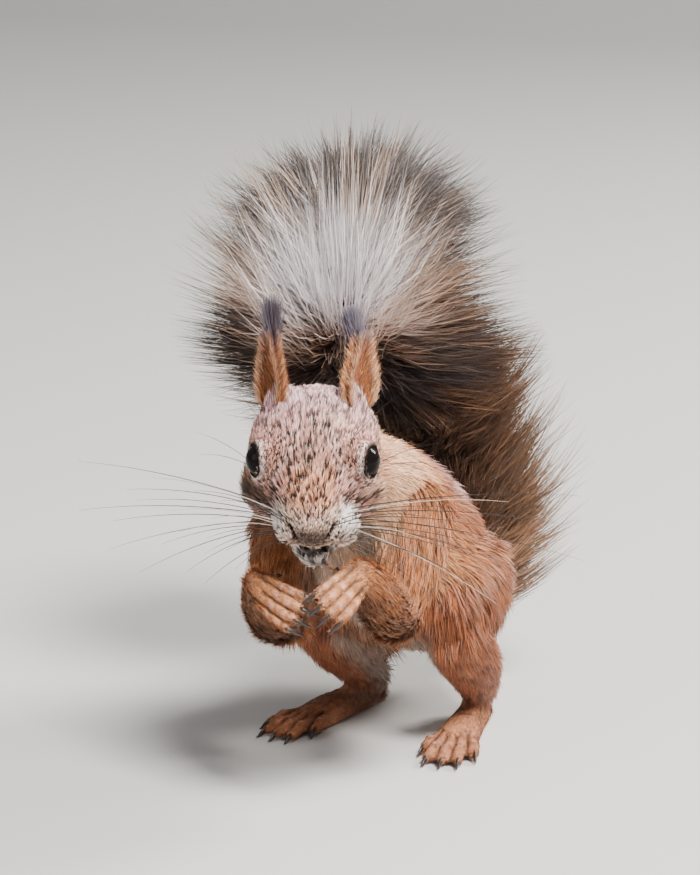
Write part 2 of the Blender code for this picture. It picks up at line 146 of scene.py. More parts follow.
# A shader socket that adds Math nodes when it is used in an expression.
class Num:
    def __init__(self, tree, socket):
        self.tree, self.socket = tree, socket

    def math(self, operation, *others):
        node = self.tree.nodes.new("ShaderNodeMath")
        node.operation = operation
        for i, value in enumerate((self, *others)):
            if isinstance(value, Num):
                self.tree.links.new(value.socket, node.inputs[i])
            else:
                node.inputs[i].default_value = value
        return Num(self.tree, node.outputs[0])

    def __add__(self, other):
        return self.math("ADD", other)

    def __mul__(self, other):
        return self.math("MULTIPLY", other)

    def __sub__(self, other):
        return self.math("SUBTRACT", other)

    def __rsub__(self, other):
        return self.math("MULTIPLY_ADD", -1, other)

    __radd__ = __add__
    __rmul__ = __mul__


# A material and its nodes.
class Look:
    def __init__(self, name, roughness=0.6, colour=None, sockets=None):
        self.material = bpy.data.materials.new(name)
        self.material.use_nodes = True
        self.tree = self.material.node_tree
        self.shader = self.tree.nodes["Principled BSDF"]
        self.shader.inputs["Roughness"].default_value = roughness
        if colour is not None:
            self.shader.inputs["Base Color"].default_value = (*colour, 1)
        for key, value in (sockets or {}).items():
            self.shader.inputs[key].default_value = value

    def node(self, kind, settings=None, sockets=None, output=0):
        made = self.tree.nodes.new(kind)
        for key, value in (settings or {}).items():
            setattr(made, key, value)
        for key, value in (sockets or {}).items():
            if isinstance(value, Num):
                self.tree.links.new(value.socket, made.inputs[key])
            else:
                made.inputs[key].default_value = value
        return Num(self.tree, made.outputs[output])

    def feed(self, name, value):
        self.tree.links.new(value.socket, self.shader.inputs[name])

    def tinted(self):
        tint = self.node("ShaderNodeAttribute", {"attribute_name": "tint"}, output="Color")
        self.feed("Base Color", tint)
        return self


def addObject(name, mesh, material, slot=None, replaces=()):
    made = bpy.data.objects.new(name, mesh)
    bpy.context.scene.collection.objects.link(made)
    mesh.materials.append(material)
    if slot:
        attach(made, "root")
    if replaces:
        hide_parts(*replaces)
    return made


def simpleMesh(name, points, faces, smooth=True):
    mesh = bpy.data.meshes.new(name)
    mesh.from_pydata((np.array(points) * 0.001).tolist(), [], faces)
    if smooth:
        mesh.shade_smooth()
    return mesh


stageSettings = {
    "floorColour": (0.56, 0.55, 0.53),
    "floorBack": 1.6,  # metres, where the floor starts to curve up into the backdrop
    "curve": 0.8,
    "height": 4.0,
    "halfWidth": 4.0,
    "sky": ((0.95, 0.97, 1.0, 1), 0.36),
    # Where each soft lamp stands, its size, power and colour.
    "lamps": {
        "key": ((0.62, -0.52, 1.20), 0.4, 51, (1.0, 0.97, 0.93)),
        "fill": ((-1.1, -1.3, 0.7), 1.0, 9, (0.94, 0.97, 1.0)),
        "rim": ((0.85, 0.95, 0.95), 0.5, 40, (1.0, 0.96, 0.92)),
    },
}


def buildStage(floorColour, floorBack, curve, height, halfWidth, sky, lamps):
    profile = [(-2.5, 0)]
    for k in range(13):
        turn = math.radians(90 * k / 12)
        profile.append((floorBack + curve * math.sin(turn), curve * (1 - math.cos(turn))))
    profile.append((floorBack + curve, height))
    points = [(x * 1000, y * 1000, z * 1000) for y, z in profile for x in (-halfWidth, halfWidth)]
    faces = [(2 * k, 2 * k + 1, 2 * k + 3, 2 * k + 2) for k in range(len(profile) - 1)]
    floorLook = Look("floor", 0.9, floorColour)
    floor = addObject("floor", simpleMesh("floor", points, faces), floorLook.material)
    floor.location.z = -0.0002
    made = [floor]
    for name, (place, size, power, colour) in lamps.items():
        data = bpy.data.lights.new(name, "AREA")
        data.size, data.energy, data.color = size, power, colour
        lamp = bpy.data.objects.new(name, data)
        bpy.context.scene.collection.objects.link(lamp)
        aim(lamp, place, Vector((0, 0, 0.09)) - Vector(place))
        made.append(lamp)
    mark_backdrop(*made)
    world = bpy.data.worlds.new("studio")
    bpy.context.scene.world = world
    world.use_nodes = True
    background = world.node_tree.nodes["Background"].inputs
    background["Color"].default_value, background["Strength"].default_value = sky


buildStage(**stageSettings)
print("stage and camera")

# The centre lines of the body's parts, each from where it joins the body to its far end, with
# the radius there. They say which part a spot of skin belongs to and which way its hair lies.

limbRows = {
    "thigh_left": (
        (15, 102, 35, 12), (17.5, 90, 42, 17), (18.5, 75, 45, 17), (21, 61, 44, 13), (22, 53, 42, 8),
    ),
    "thigh_right": (
        (15, 102, 35, 12), (17.5, 90, 42, 17), (18, 76, 45, 17), (19.5, 63, 44, 13), (20, 55, 42, 8),
    ),
    "shank_left": (
        (22, 56, 41, 9), (23, 66, 32, 11.5), (23, 78, 22, 10.5), (22, 89, 13, 8), (21, 97, 7, 6),
    ),
    "shank_right": (
        (20, 58, 41, 9), (20, 68, 32, 11.5), (18, 80, 22, 10.5), (15, 92, 13, 8), (14, 100, 7, 6),
    ),
    "upper_arm_left": (
        (14, 46, 84, 9), (17, 38, 79, 13), (18, 31, 68, 12), (17, 25, 57, 10), (16, 22, 51, 8),
    ),
    "upper_arm_right": (
        (14, 42, 84, 9), (17, 34, 79, 13), (18, 26, 68, 12), (16, 19, 57, 10), (15, 16, 51, 8),
    ),
    "forearm_left": (
        (17, 27, 51, 8), (17, 22, 53, 10), (16, 13, 59.5, 9), (14.8, 7.5, 65.5, 6.5), (13.5, 5, 68.5, 5),
    ),
    "forearm_right": (
        (15, 20, 49, 8), (15.5, 15, 51, 10), (16, 7, 57, 9), (16, 0, 62, 6.5), (15.8, -2.5, 65, 5),
    ),
}
# The same for the spine, without its sideways place.
spineRows = (
    (4, 102, 12), (14, 98, 15.5), (27, 90.5, 18), (42, 81.5, 21), (57, 71.5, 25),
    (72, 60.5, 27), (87, 48, 26), (100, 34, 21), (109, 22, 13),
)
# The tail: place, half width, depth above and below, and its turn in degrees.
tailRows = (
    (0, 106, 26, 9, 8, 8, 0), (0, 119, 33, 19, 13, 12, 0), (-1, 128, 47, 27, 16, 15, 0),
    (-4, 130, 65, 33, 18, 16, 2), (-12, 124, 85, 40, 21, 17, 7), (-20, 110, 103, 46, 25, 18, 12),
    (-20, 92, 117, 48, 29, 16, 15), (-17, 78, 129, 48, 34, 13, 17), (-15, 73, 142, 48, 37, 12, 18),
    (-16, 81, 153, 45, 34, 12, 18), (-19, 96, 157, 38, 27, 13, 18), (-23, 113, 153, 28, 19, 12, 18),
    (-27, 129, 143, 14, 10, 8, 18), (-29, 135, 137, 3, 3, 3, 18),
)
digitSettings = {
    "wrists": {"left": (13.5, 4.0, 70.0), "right": (-16.0, -3.5, 66.0)},
    "fingerAims": {"left": (10.9, -11.0, 66.1), "right": (-3.9, -13.1, 62.7)},
    "backsOfHands": {"left": (0.62, -0.40, 0.56), "right": (-0.54, -0.74, 0.39)},
    "heels": {"left": (20.5, 99.0, 0), "right": (-13.0, 103.0, 0)},
    "toeAims": {"left": (24.0, 42.0, 0), "right": (-31.0, 50.0, 0)},
    # Each finger's spread, place across the hand, height and length.
    "fingers": (
        (-0.10, -4.2, -0.1, 4.6), (-0.03, -1.4, 0.3, 5.2), (0.04, 1.4, 0.25, 5.3), (0.12, 4.2, -0.2, 4.7),
    ),
    # Each toe's place across the foot, spread, length and distance from the heel.
    "toes": (
        (-5.0, -0.30, 3.2, 36.5), (-2.9, -0.14, 4.9, 40.0), (0.0, 0.0, 5.2, 40.0), (2.9, 0.14, 4.9, 40.0),
        (5.2, 0.30, 3.9, 36.5),
    ),
    # The centre lines of a hand and of a foot: distance from the wrist or heel, and radius.
    "handLine": ((-3, 4), (3, 4.2), (9, 3.8), (14, 2.5), (19, 1.5)),
    "footLine": ((1, 5), (14, 5), (30, 5), (44, 4), (54, 3)),
    "fingerBend": 24,
    "thumbBend": 20,
    "toeBend": 10,
}


# Catmull-Rom through the rows.
def smoothRows(rows, count):
    rows = np.array(rows, float)
    place = np.linspace(0, len(rows) - 1, count)
    k = np.minimum(place.astype(int), len(rows) - 2)
    t = (place - k)[:, None]
    a, b, c, d = (rows[np.clip(k + j, 0, len(rows) - 1)] for j in (-1, 0, 1, 2))
    return b + 0.5 * t * (c - a + t * (2 * a - 5 * b + 4 * c - d + t * (3 * (b - c) + d - a)))


# A local frame with an origin: forwards, to the left and up.
class Axes:
    def __init__(self, origin, forward, upHint):
        self.origin = np.array(origin, float)
        self.forward = unit(np.array(forward, float))
        self.left = unit(np.cross(upHint, self.forward))
        self.up = np.cross(self.forward, self.left)

    def point(self, forward, left, up):
        return self.origin + self.direction(forward, left, up)

    def direction(self, forward, left, up):
        return self.forward * forward + self.left * left + self.up * up

    # The centre line of the hand or foot, as rows of place and radius.
    def line(self, rows, height):
        return [(*(self.point(x, 0, height) - bodyShift), r) for x, r in rows]


# The joints of a finger or toe, then the direction of its last bone.
def digitPoints(axes, root, heading, lengths, bend):
    points, pitch = [axes.point(*root)], 0.0
    for length in lengths:
        level = math.cos(pitch)
        step = axes.direction(math.cos(heading) * level, math.sin(heading) * level, -math.sin(pitch))
        points.append(points[-1] + step * length)
        pitch += math.radians(bend)
    return np.array(points), step


# Every finger, thumb and toe: its side, kind, joints, last direction and hand's or foot's axes.
def findDigits(wrists, fingerAims, backsOfHands, heels, toeAims, fingers, toes, handLine, footLine, **bends):
    made = []
    for side, sign in sides.items():
        wrist = placed(wrists[side])
        along = unit(placed(fingerAims[side]) - wrist)
        backOfHand = np.array(backsOfHands[side])
        hand = Axes(wrist, along, backOfHand - along * backOfHand.dot(along))
        for spread, across, height, reach in fingers:
            lengths = (reach, reach * 0.8, reach * 0.6)
            ends = digitPoints(hand, (7.0, across, height), spread, lengths, bends["fingerBend"])
            made.append((side, "finger", *ends, hand))
        ends = digitPoints(hand, (2.5, -3.6 * sign, -1.5), -0.6 * sign, (2.2, 1.6), bends["thumbBend"])
        made.append((side, "thumb", *ends, hand))
        heel = placed(heels[side])
        foot = Axes(heel, placed(toeAims[side]) - heel, (0, 0, 1))
        for across, splay, reach, start in toes:
            lengths = (reach * 1.4, reach * 1.3)
            ends = digitPoints(foot, (start, across * sign, 2.9), splay * sign, lengths, bends["toeBend"])
            made.append((side, "toe", *ends, foot))
        limbRows["hand_" + side] = hand.line(handLine, 0.4)
        limbRows["foot_" + side] = foot.line(footLine, 3.5)
    return made


digits = findDigits(**digitSettings)

# The same lines in the head's own measure: forwards, upwards and radius.
headLines = {
    "head": ((23, -9, 3), (15, -7, 9), (5, -4, 14), (-7, -3, 18), (-17, -3, 18), (-26, -2, 10)),
    "jaw": ((17, -22, 2.5), (8, -21.5, 6), (-8, -20, 9)),
}


# Every part's centre line as segments: part number, start, end and both radii.
def boneSegments():
    lines = {name: [(*headPoint(f, 0, t), r) for f, t, r in rows] for name, rows in headLines.items()}
    lines["neck"] = [(*placed((0, y, z)), r) for y, z, r in spineRows[:4]]
    lines["trunk"] = [(*placed((0, y, z)), r) for y, z, r in spineRows[3:]]
    for name, rows in limbRows.items():
        flip = 1 if name.startswith(("hand", "foot")) else sides[name.split("_")[-1]]
        lines[name] = [(*placed((x * flip, y, z)), r) for x, y, z, r in rows]
    lines["tail"] = [(*placed((x, y, z)), 6) for x, y, z, *_ in tailRows[1:]]
    made = []
    for number, rows in enumerate(lines.values()):
        rows = np.array(rows)
        made += [(number, a[:3], b[:3], a[3], b[3]) for a, b in zip(rows, rows[1:])]
    return list(lines), made


boneNames, bones = boneSegments()


# For each point: a weight for every part, and the way the parts run there.
def nearBones(points, softness=2.5):
    gaps = np.empty((len(points), len(bones)), np.float32)
    ways = np.array([unit(b - a) for _, a, b, _, _ in bones])
    for j, (_, a, b, ra, rb) in enumerate(bones):
        t = np.clip((points - a) @ (b - a) / ((b - a) @ (b - a)), 0, 1)
        gaps[:, j] = np.linalg.norm(points - a - t[:, None] * (b - a), axis=1) - (ra + (rb - ra) * t)
    pull = np.exp(-(gaps - gaps.min(1, keepdims=True)) / softness)
    pull /= pull.sum(1, keepdims=True)
    weights = {}
    for number, name in enumerate(boneNames):
        weights[name] = pull[:, [j for j, bone in enumerate(bones) if bone[0] == number]].sum(1)
    return weights, pull @ ways


def partShare(weights, word):
    return sum(w for name, w in weights.items() if name.startswith(word))


# shaping helpers


# A closed tube through the points, as points and faces.
def tube(points, widths, heights, upHint, sides=10):
    points = np.array(points)
    count = len(points)
    along = unit(np.gradient(points, axis=0))
    across = unit(np.cross(upHint, along))
    above = np.cross(along, across)
    turn = np.linspace(0, 2 * math.pi, sides, endpoint=False)
    ring = (
        points[:, None]
        + across[:, None] * (np.cos(turn)[None, :, None] * np.reshape(widths, (-1, 1, 1)))
        + above[:, None] * (np.sin(turn)[None, :, None] * np.reshape(heights, (-1, 1, 1)))
    ).reshape(-1, 3)
    ends = [points[0] - along[0] * widths[0] * 0.7, points[-1] + along[-1] * widths[-1] * 0.7]
    faces = []
    for i in range(count - 1):
        for k in range(sides):
            n = (k + 1) % sides
            faces.append((i * sides + k, i * sides + n, (i + 1) * sides + n, (i + 1) * sides + k))
    first, last = count * sides, count * sides + 1
    for k in range(sides):
        n = (k + 1) % sides
        faces.append((n, k, first))
        faces.append(((count - 1) * sides + k, (count - 1) * sides + n, last))
    return np.concatenate((ring, ends)), faces


# An ellipsoid as points and faces, turned like the head.
def ballShape(centre, radii, segments=20, rings=12):
    made = bmesh.new()
    bmesh.ops.create_uvsphere(made, u_segments=segments, v_segments=rings, radius=1)
    points = np.array([v.co for v in made.verts])
    faces = [[v.index for v in f.verts] for f in made.faces]
    made.free()
    return centre + (points * radii) @ headAxes, faces


def joined(shapes):
    points, faces, start = [], [], 0
    for p, f in shapes:
        points.append(p)
        faces += [tuple(i + start for i in face) for face in f]
        start += len(p)
    return np.concatenate(points), faces


def read(collection, name, width, kind=np.float32):
    made = np.empty(len(collection) * width, kind)
    collection.foreach_get(name, made)
    return made.reshape(-1, width)


def meshArrays(mesh):
    points = read(mesh.vertices, "co", 3).astype(float) * 1000
    return points, read(mesh.vertex_normals, "vector", 3).astype(float)


def movePoints(mesh, points):
    mesh.vertices.foreach_set("co", (points * 0.001).astype(np.float32).ravel())
    mesh.update()


def triangles(mesh):
    mesh.calc_loop_triangles()
    return read(mesh.loop_triangles, "vertices", 3, np.int32)


# The mesh after the modifiers, each given as its type and settings.
def evaluated(mesh, modifiers):
    holder = bpy.data.objects.new("holder", mesh)
    bpy.context.scene.collection.objects.link(holder)
    for kind, settings in modifiers:
        step = holder.modifiers.new(kind, kind)
        for key, value in settings.items():
            setattr(step, key, value)
    graph = bpy.context.evaluated_depsgraph_get()
    made = bpy.data.meshes.new_from_object(holder.evaluated_get(graph))
    bpy.data.objects.remove(holder)
    return made


# Laplacian smoothing, on the mesh's edges.
def softened(points, edges, rounds, mask=1):
    ends = np.concatenate((edges, edges[:, ::-1]))
    count = np.maximum(np.bincount(ends[:, 0], minlength=len(points))[:, None], 1)
    for _ in range(rounds):
        columns = [np.bincount(ends[:, 0], column[ends[:, 1]], len(points)) for column in points.T]
        points = points + (np.stack(columns, 1) / count - points) * 0.5 * mask
    return points


# 1 at no distance, falling smoothly to 0 at reach.
def bump(distance, reach):
    t = np.clip(1 - distance / reach, 0, 1)
    return t * t * (3 - 2 * t)


# 0 before start and 1 after stop, smoothly.
def ramp(x, start, stop):
    t = np.clip((x - start) / (stop - start), 0, 1)
    return t * t * (3 - 2 * t)


# How far each point lies from a spot, in radii that may differ along the three axes.
def reachFrom(points, centre, radii=1.0):
    return np.linalg.norm((points - centre) / radii, axis=1)


# How far each point lies from a bent line.
def alongLine(points, *corners):
    best = np.full(len(points), 1e9)
    for start, stop in zip(corners, corners[1:]):
        start, stop = np.array(start, float), np.array(stop, float)
        t = np.clip((points - start) @ (stop - start) / ((stop - start) @ (stop - start)), 0, 1)
        best = np.minimum(best, np.linalg.norm(points - start - t[:, None] * (stop - start), axis=1))
    return best


# face features, in the head's own measure: forwards, to the left and up

faceSettings = {
    "lidOpening": 51,  # degrees from the eye's own axis
    "eyeLooks": (0.32, 0.92, 0.20),  # the way of the left eye's axis
    "mouthMiddle": np.array((17.0, 0.8, -22.3)),
    "mouthRadii": np.array((6.5, 3.7, 3.2)),
    "mouthFloor": 1.7,  # how far the hollow goes down from its middle
    "lipFront": 18.5,  # no dark mouth in front of this
    "chinwards": (0.67, 0, -0.74),  # the way along which the lower lip ends the mouth
    "lowerLip": (28.5, 27.7),
    "nose": ((22.0, 0.5, -11.0), (4.5, 5.2, 4.6)),  # middle and radii of the bare front
    "nostrils": (((4.1, -11.4), (6.0, -8.3)), 0.4),  # a slit's ends, and the middle between the two
    "noseEdge": ((-3.7, -11.4), (-1.7, -13.4), (2.5, -13.4), (4.5, -11.4)),
    "cleft": ((0.5, -13.4), (0.6, -18.5)),
    "noseFront": 16.5,  # the lines fade out behind this
}
lidOpening = faceSettings["lidOpening"]
mouthMiddle, mouthRadii = faceSettings["mouthMiddle"], faceSettings["mouthRadii"]
eyeAxes = {}
for side, sign in sides.items():
    eyeAxes[side] = unit(np.array(faceSettings["eyeLooks"]) * (1, sign, 1) @ headAxes)


# How far each point lies from an eye's middle, and its angle from the eye's axis.
def eyeAngles(points, side):
    away = points - eyeMiddles[side]
    reach = np.linalg.norm(away, axis=1)
    return away, reach, np.degrees(np.arccos(np.clip(away @ eyeAxes[side] / (reach + 1e-9), -1, 1)))


# How far each point of the muzzle's front lies from the nostrils, the nose's edge and the cleft.
def noseLines(q):
    flatQ = q[:, 1:]
    behind = np.maximum(faceSettings["noseFront"] - q[:, 0], 0)
    corners, middle = faceSettings["nostrils"]
    slits = [alongLine(flatQ, *((middle + s * k, t) for s, t in corners)) + behind for k in (1, -1)]
    edge = alongLine(flatQ, *faceSettings["noseEdge"]) + behind
    cleft = alongLine(flatQ, *faceSettings["cleft"]) + behind
    return np.minimum(*slits), edge, cleft


# Below 1 in the open mouth: seen from above, and in full.
def mouthReach(q):
    scaled = (q - mouthMiddle) / mouthRadii
    return np.hypot(*scaled[:, :2].T), np.linalg.norm(scaled, axis=1)


# 1 on the open mouth's inside, painted near-black as shade, down to its pale lower lip.
def mouthShare(q):
    flatReach, reach = mouthReach(q)
    flatReach = flatReach + 9 * (q[:, 0] > faceSettings["lipFront"])
    height = q[:, 2] - mouthMiddle[2]
    dark = ramp(flatReach, 1.06, 0.98) * (np.abs(height - 0.3) < 3.6)
    dark = np.maximum(ramp(reach, 1.12, 1.0), dark)
    return dark * ramp(q @ faceSettings["chinwards"], *faceSettings["lowerLip"])


# 1 on the bare front of the nose.
def nosePad(q):
    return ramp(reachFrom(q, *faceSettings["nose"]), 1.3, 0.6)


# 1 in the grooves between neighbouring fingers and toes, and each hand's or foot's upward way.
def digitGrooves(points):
    groove, upward = np.zeros(len(points)), np.zeros((len(points), 3))
    for side in sides:
        for kind in ("finger", "toe"):
            own = [d for d in digits if d[0] == side and d[1] == kind]
            gaps = np.stack([alongLine(points, d[2][0] - d[4].forward * 3.0, *d[2]) for d in own])
            gaps.sort(axis=0)
            here = bump(gaps[1] - gaps[0], 1.25) * (gaps[0] < 3.0)
            better = here > groove
            groove[better] = here[better]
            upward[better] = own[0][4].up
    return groove, upward


# the skin

limbParts = ("upper_arm", "forearm", "hand", "thigh", "shank", "foot")
fleshNodes = ["head", "lower_jaw", "nose", "neck", "trunk"]
fleshNodes += [f"{part}_{side}" for part in limbParts for side in sides]
skinSettings = {
    "voxel": 0.00058,  # metres
    "swell": 0.4,
    "fineSwell": 0.15,  # on the hands and feet
    "eyeSocket": (5.8, 5.8, 5.8),
    # Balls that fill the face out: place in the head and radii.
    "balls": (
        ((14.8, 7.6, -12.2), (7.4, 6.9, 5.4)),
        ((14.8, -5.8, -12.2), (7.4, 5.9, 5.4)),
        ((14.6, 0.6, -13.6), (7.3, 5.4, 5.7)),
        ((15.8, 0.7, -24.4), (3.6, 4.6, 2.1)),
    ),
    "digitSizes": {
        "finger": (1.45, 1.6, 1.5, 1.4, 1.0), "thumb": (1.5, 1.4, 1.2, 0.9), "toe": (2.1, 2.2, 1.9, 1.5),
    },
    "tailCore": ((0, 4, 12, 29), (8, 6, 4.5, 2)),  # places along the tail and radii there
    # How far the skin lies inside the solids, under each part's coat.
    "depths": {
        "head": 1.5, "jaw": 1.2, "neck": 3.6, "trunk": 4.6, "thigh": 3.8, "shank": 2.6,
        "upper_arm": 3.2, "forearm": 2.4, "hand": 0.35, "foot": 0.45, "tail": 0.4,
    },
}


# Every flesh node, a little swollen so that the gaps close, with the digits and tail core.
def skinUnion():
    shapes = []
    for node in fleshNodes:
        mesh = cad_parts[node].data
        points, normals = meshArrays(mesh)
        swell = skinSettings["fineSwell" if node.startswith(("hand", "foot")) else "swell"]
        # The imported mesh is split along its sharp edges, so points at one place share a normal.
        _, first, back = np.unique(np.round(points, 3), axis=0, return_index=True, return_inverse=True)
        back = back.reshape(-1)
        shared = np.zeros((len(first), 3))
        np.add.at(shared, back, normals)
        faces = [tuple(int(back[i]) for i in t) for t in triangles(mesh)]
        shapes.append((points[first] + unit(shared) * swell, [f for f in faces if len(set(f)) == 3]))
    shapes += [ballShape(eyeMiddles[side], skinSettings["eyeSocket"]) for side in sides]
    shapes += [ballShape(headPoint(*place), radii) for place, radii in skinSettings["balls"]]
    for _, kind, joints, end, axes in digits:
        sizes = skinSettings["digitSizes"][kind]
        shapes.append(tube(np.concatenate((joints, [joints[-1] + end * 0.8])), sizes, sizes, axes.up))
        for joint, size in list(zip(joints, sizes))[1:-1]:
            shapes.append(ballShape(joint + axes.up * 0.15, np.full(3, size * 1.1), 10, 6))
    core = smoothRows([(*placed(row[:3]), 0) for row in tailRows[:-1]], 30)[:, :3]
    radii = np.interp(np.arange(30), *skinSettings["tailCore"])
    shapes.append(tube(core, radii, radii, (1, 0, 0)))
    return joined(shapes)


# Folds that the head's solids leave out: lids, brow, cheeks, nostrils, lips and the mouth.
def sculpted(points, normals, weights):
    q = headLocal(points)
    nostril, edge, cleft = noseLines(q)
    move = normals * (0.55 * bump(reachFrom(q, (21, 0.4, -9.5), (4, 4.6, 4)), 1.0))[:, None]
    move -= normals * (1.1 * bump(nostril, 1.3) + 0.5 * bump(edge, 1.2) + 0.7 * bump(cleft, 1.2))[:, None]
    for side, sign in sides.items():
        reach = eyeAngles(points, side)[1]
        # The socket's edge stands up as a soft rim, and the skin sinks a little beyond it.
        rim = 0.1 * bump(np.abs(reach - 7.0), 1.4) + 0.5 * bump(np.abs(reach - 9.8), 3.2)
        move += normals * rim[:, None]
        cheek = alongLine(q * (1, sign, 1), (7, 14.5, -13), (-6, 18, -16))
        move += normals * (1.6 * bump(cheek, 7.5))[:, None]
        earRoot = bump(reachFrom(q, (-16.5, 12.0 * sign, 9), (5, 6, 5)), 1.3)
        move += (normals * 0.8 + headUp * 2.0) * earRoot[:, None]
    points = points + move
    # The open mouth: its roof is pushed up and its floor down, as far as an egg-shaped hollow.
    q = headLocal(points)
    flatReach, reach = mouthReach(q)
    inside = (reach < 1) & (q @ faceSettings["chinwards"] < 28.6)
    half = np.sqrt(np.maximum(1 - flatReach**2, 0))
    lower = (weights["jaw"] > weights["head"]) | (q[:, 2] < mouthMiddle[2])
    level = mouthMiddle[2] + half * np.where(lower, -faceSettings["mouthFloor"], mouthRadii[2])
    points = points + headUp * np.where(inside, level - q[:, 2], 0)[:, None]
    groove, upward = digitGrooves(points)
    points = points - upward * (1.0 * groove * np.maximum((normals * upward).sum(1), 0))[:, None]
    # The lids close over each eyeball up to their rims. Inside the rims the skin hides within it.
    for side in sides:
        away, reach, angle = eyeAngles(points, side)
        lid = 5.62 + 0.3 * bump(np.abs(angle - lidOpening - 6), 14)
        new = np.where(angle < lidOpening, np.minimum(reach, 4.9), np.maximum(reach, lid))
        new = np.where(reach < 7.5, new, reach)
        points = eyeMiddles[side] + away * (new / reach)[:, None]
    return points


def buildSkin():
    raw = simpleMesh("skin_union", *skinUnion(), False)
    remesh = ("REMESH", {"mode": "VOXEL", "voxel_size": skinSettings["voxel"]})
    mesh = evaluated(raw, [remesh, ("SMOOTH", {"factor": 0.5, "iterations": 4})])
    bpy.data.meshes.remove(raw)
    points = meshArrays(mesh)[0]
    edges = read(mesh.edges, "vertices", 2, np.int32)
    weights = nearBones(points)[0]
    fine = np.clip(partShare(weights, "hand") + partShare(weights, "foot"), 0, 1)[:, None]
    movePoints(mesh, softened(points, edges, 30, 1 - 0.97 * fine))
    points, normals = meshArrays(mesh)
    normals = unit(softened(normals, edges, 8))
    depth = sum(partShare(weights, name) * value for name, value in skinSettings["depths"].items())
    # The coat is shorter on the muzzle and round the eyes.
    muzzle = bump(reachFrom(headLocal(points), (22, 0, -10)), 16)
    depth = depth * (1 - 0.55 * partShare(weights, "head") * muzzle)
    for side in sides:
        away = np.linalg.norm(points - eyeMiddles[side], axis=1)
        depth = depth * (1 - 0.85 * bump(np.maximum(away - 6.2, 0), 4.5))
    points = points - normals * (depth[:, None] + 0.35 * (1 - fine))
    points = softened(points, edges, 3, 1 - 0.9 * fine)
    points = sculpted(points, normals, weights)
    points[:, 2] = np.maximum(points[:, 2], 0.05)
    movePoints(mesh, points)
    mesh.shade_smooth()
    return mesh, edges


skinMesh, skinEdges = buildSkin()
skinPoints, skinNormals = meshArrays(skinMesh)
skinTriangles = triangles(skinMesh)
skinWeights, skinWays = nearBones(skinPoints)
skinWays = softened(skinWays, skinEdges, 6)
print("skin", len(skinPoints), "points", len(skinTriangles), "triangles")

# markings, the same for the skin and for the coat over it

palette = {
    "orange": (0.56, 0.205, 0.064),
    "red": (0.33, 0.095, 0.034),
    "tan": (0.78, 0.39, 0.17),
    "lilacSheen": (0.56, 0.39, 0.38),
    "forehead": (0.98, 0.44, 0.37),
    "crownSheen": (1.0, 0.56, 0.60),
    "bridge": (0.84, 0.28, 0.10),
    "white": (1.0, 0.96, 0.93),
    "cream": (0.84, 0.67, 0.50),
    "umber": (0.28, 0.12, 0.06),
    "nose": (0.115, 0.062, 0.044),
    # a peach brightened as painted light
    "litPeach": (1.0, 0.62, 0.38),
    "olive": (0.062, 0.038, 0.012),
    "brown": (0.11, 0.064, 0.040),
    "dark": (0.035, 0.022, 0.02),
    # near-black, as painted shade inside the open mouth
    "mouthShade": (0.018, 0.007, 0.006),
    "blueGrey": (0.13, 0.135, 0.19),
    "pink": (0.60, 0.36, 0.36),
    # a pale belly colour, darkened as painted shade
    "shadedBelly": (0.42, 0.32, 0.26),
    "tailWhite": (0.98, 0.92, 0.95),
    "tailCream": (0.74, 0.53, 0.40),
    "tailTan": (0.40, 0.22, 0.12),
    "tailSmoke": (0.04, 0.034, 0.036),
}
palette = {name: np.array(colour) for name, colour in palette.items()}


# A named colour for each of count points.
def filled(name, count, tone=1):
    return np.tile(palette[name] * tone, (count, 1))


# The base colours moved towards named ones in turn, each by a share for each point.
def mixed(base, *layers):
    for name, share in layers:
        share = np.clip(share, 0, 1)[:, None]
        base = base * (1 - share) + palette[name] * share
    return base


# Smooth patchy noise between -1 and 1, of about the given size in millimetres.
def ripple(points, size, seed):
    made = np.zeros(len(points))
    waves = np.random.RandomState(seed)
    for _ in range(7):
        way = unit(waves.normal(size=3)) * 2 * math.pi / size * waves.uniform(0.6, 1.7)
        made += np.sin(points @ way + waves.uniform(0, 6.28))
    return made / 3.2


# How far towards the back (1) or the belly (-1) a spot of the body lies.
def spineLift(local):
    best, lift = np.full(len(local), 1e9), np.zeros(len(local))
    rows = np.array(spineRows, float)
    for a, b in zip(rows, rows[1:]):
        way = b[:2] - a[:2]
        t = np.clip((local[:, 1:] - a[:2]) @ way / (way @ way), 0, 1)
        apart = local[:, 1:] - a[:2] - t[:, None] * way
        gap = np.linalg.norm(apart, axis=1)
        towardsBack = unit(np.array((-way[1], way[0])))
        nearer = gap < best
        best[nearer] = gap[nearer]
        lift[nearer] = (apart @ towardsBack / (a[2] + (b[2] - a[2]) * t))[nearer]
    return lift


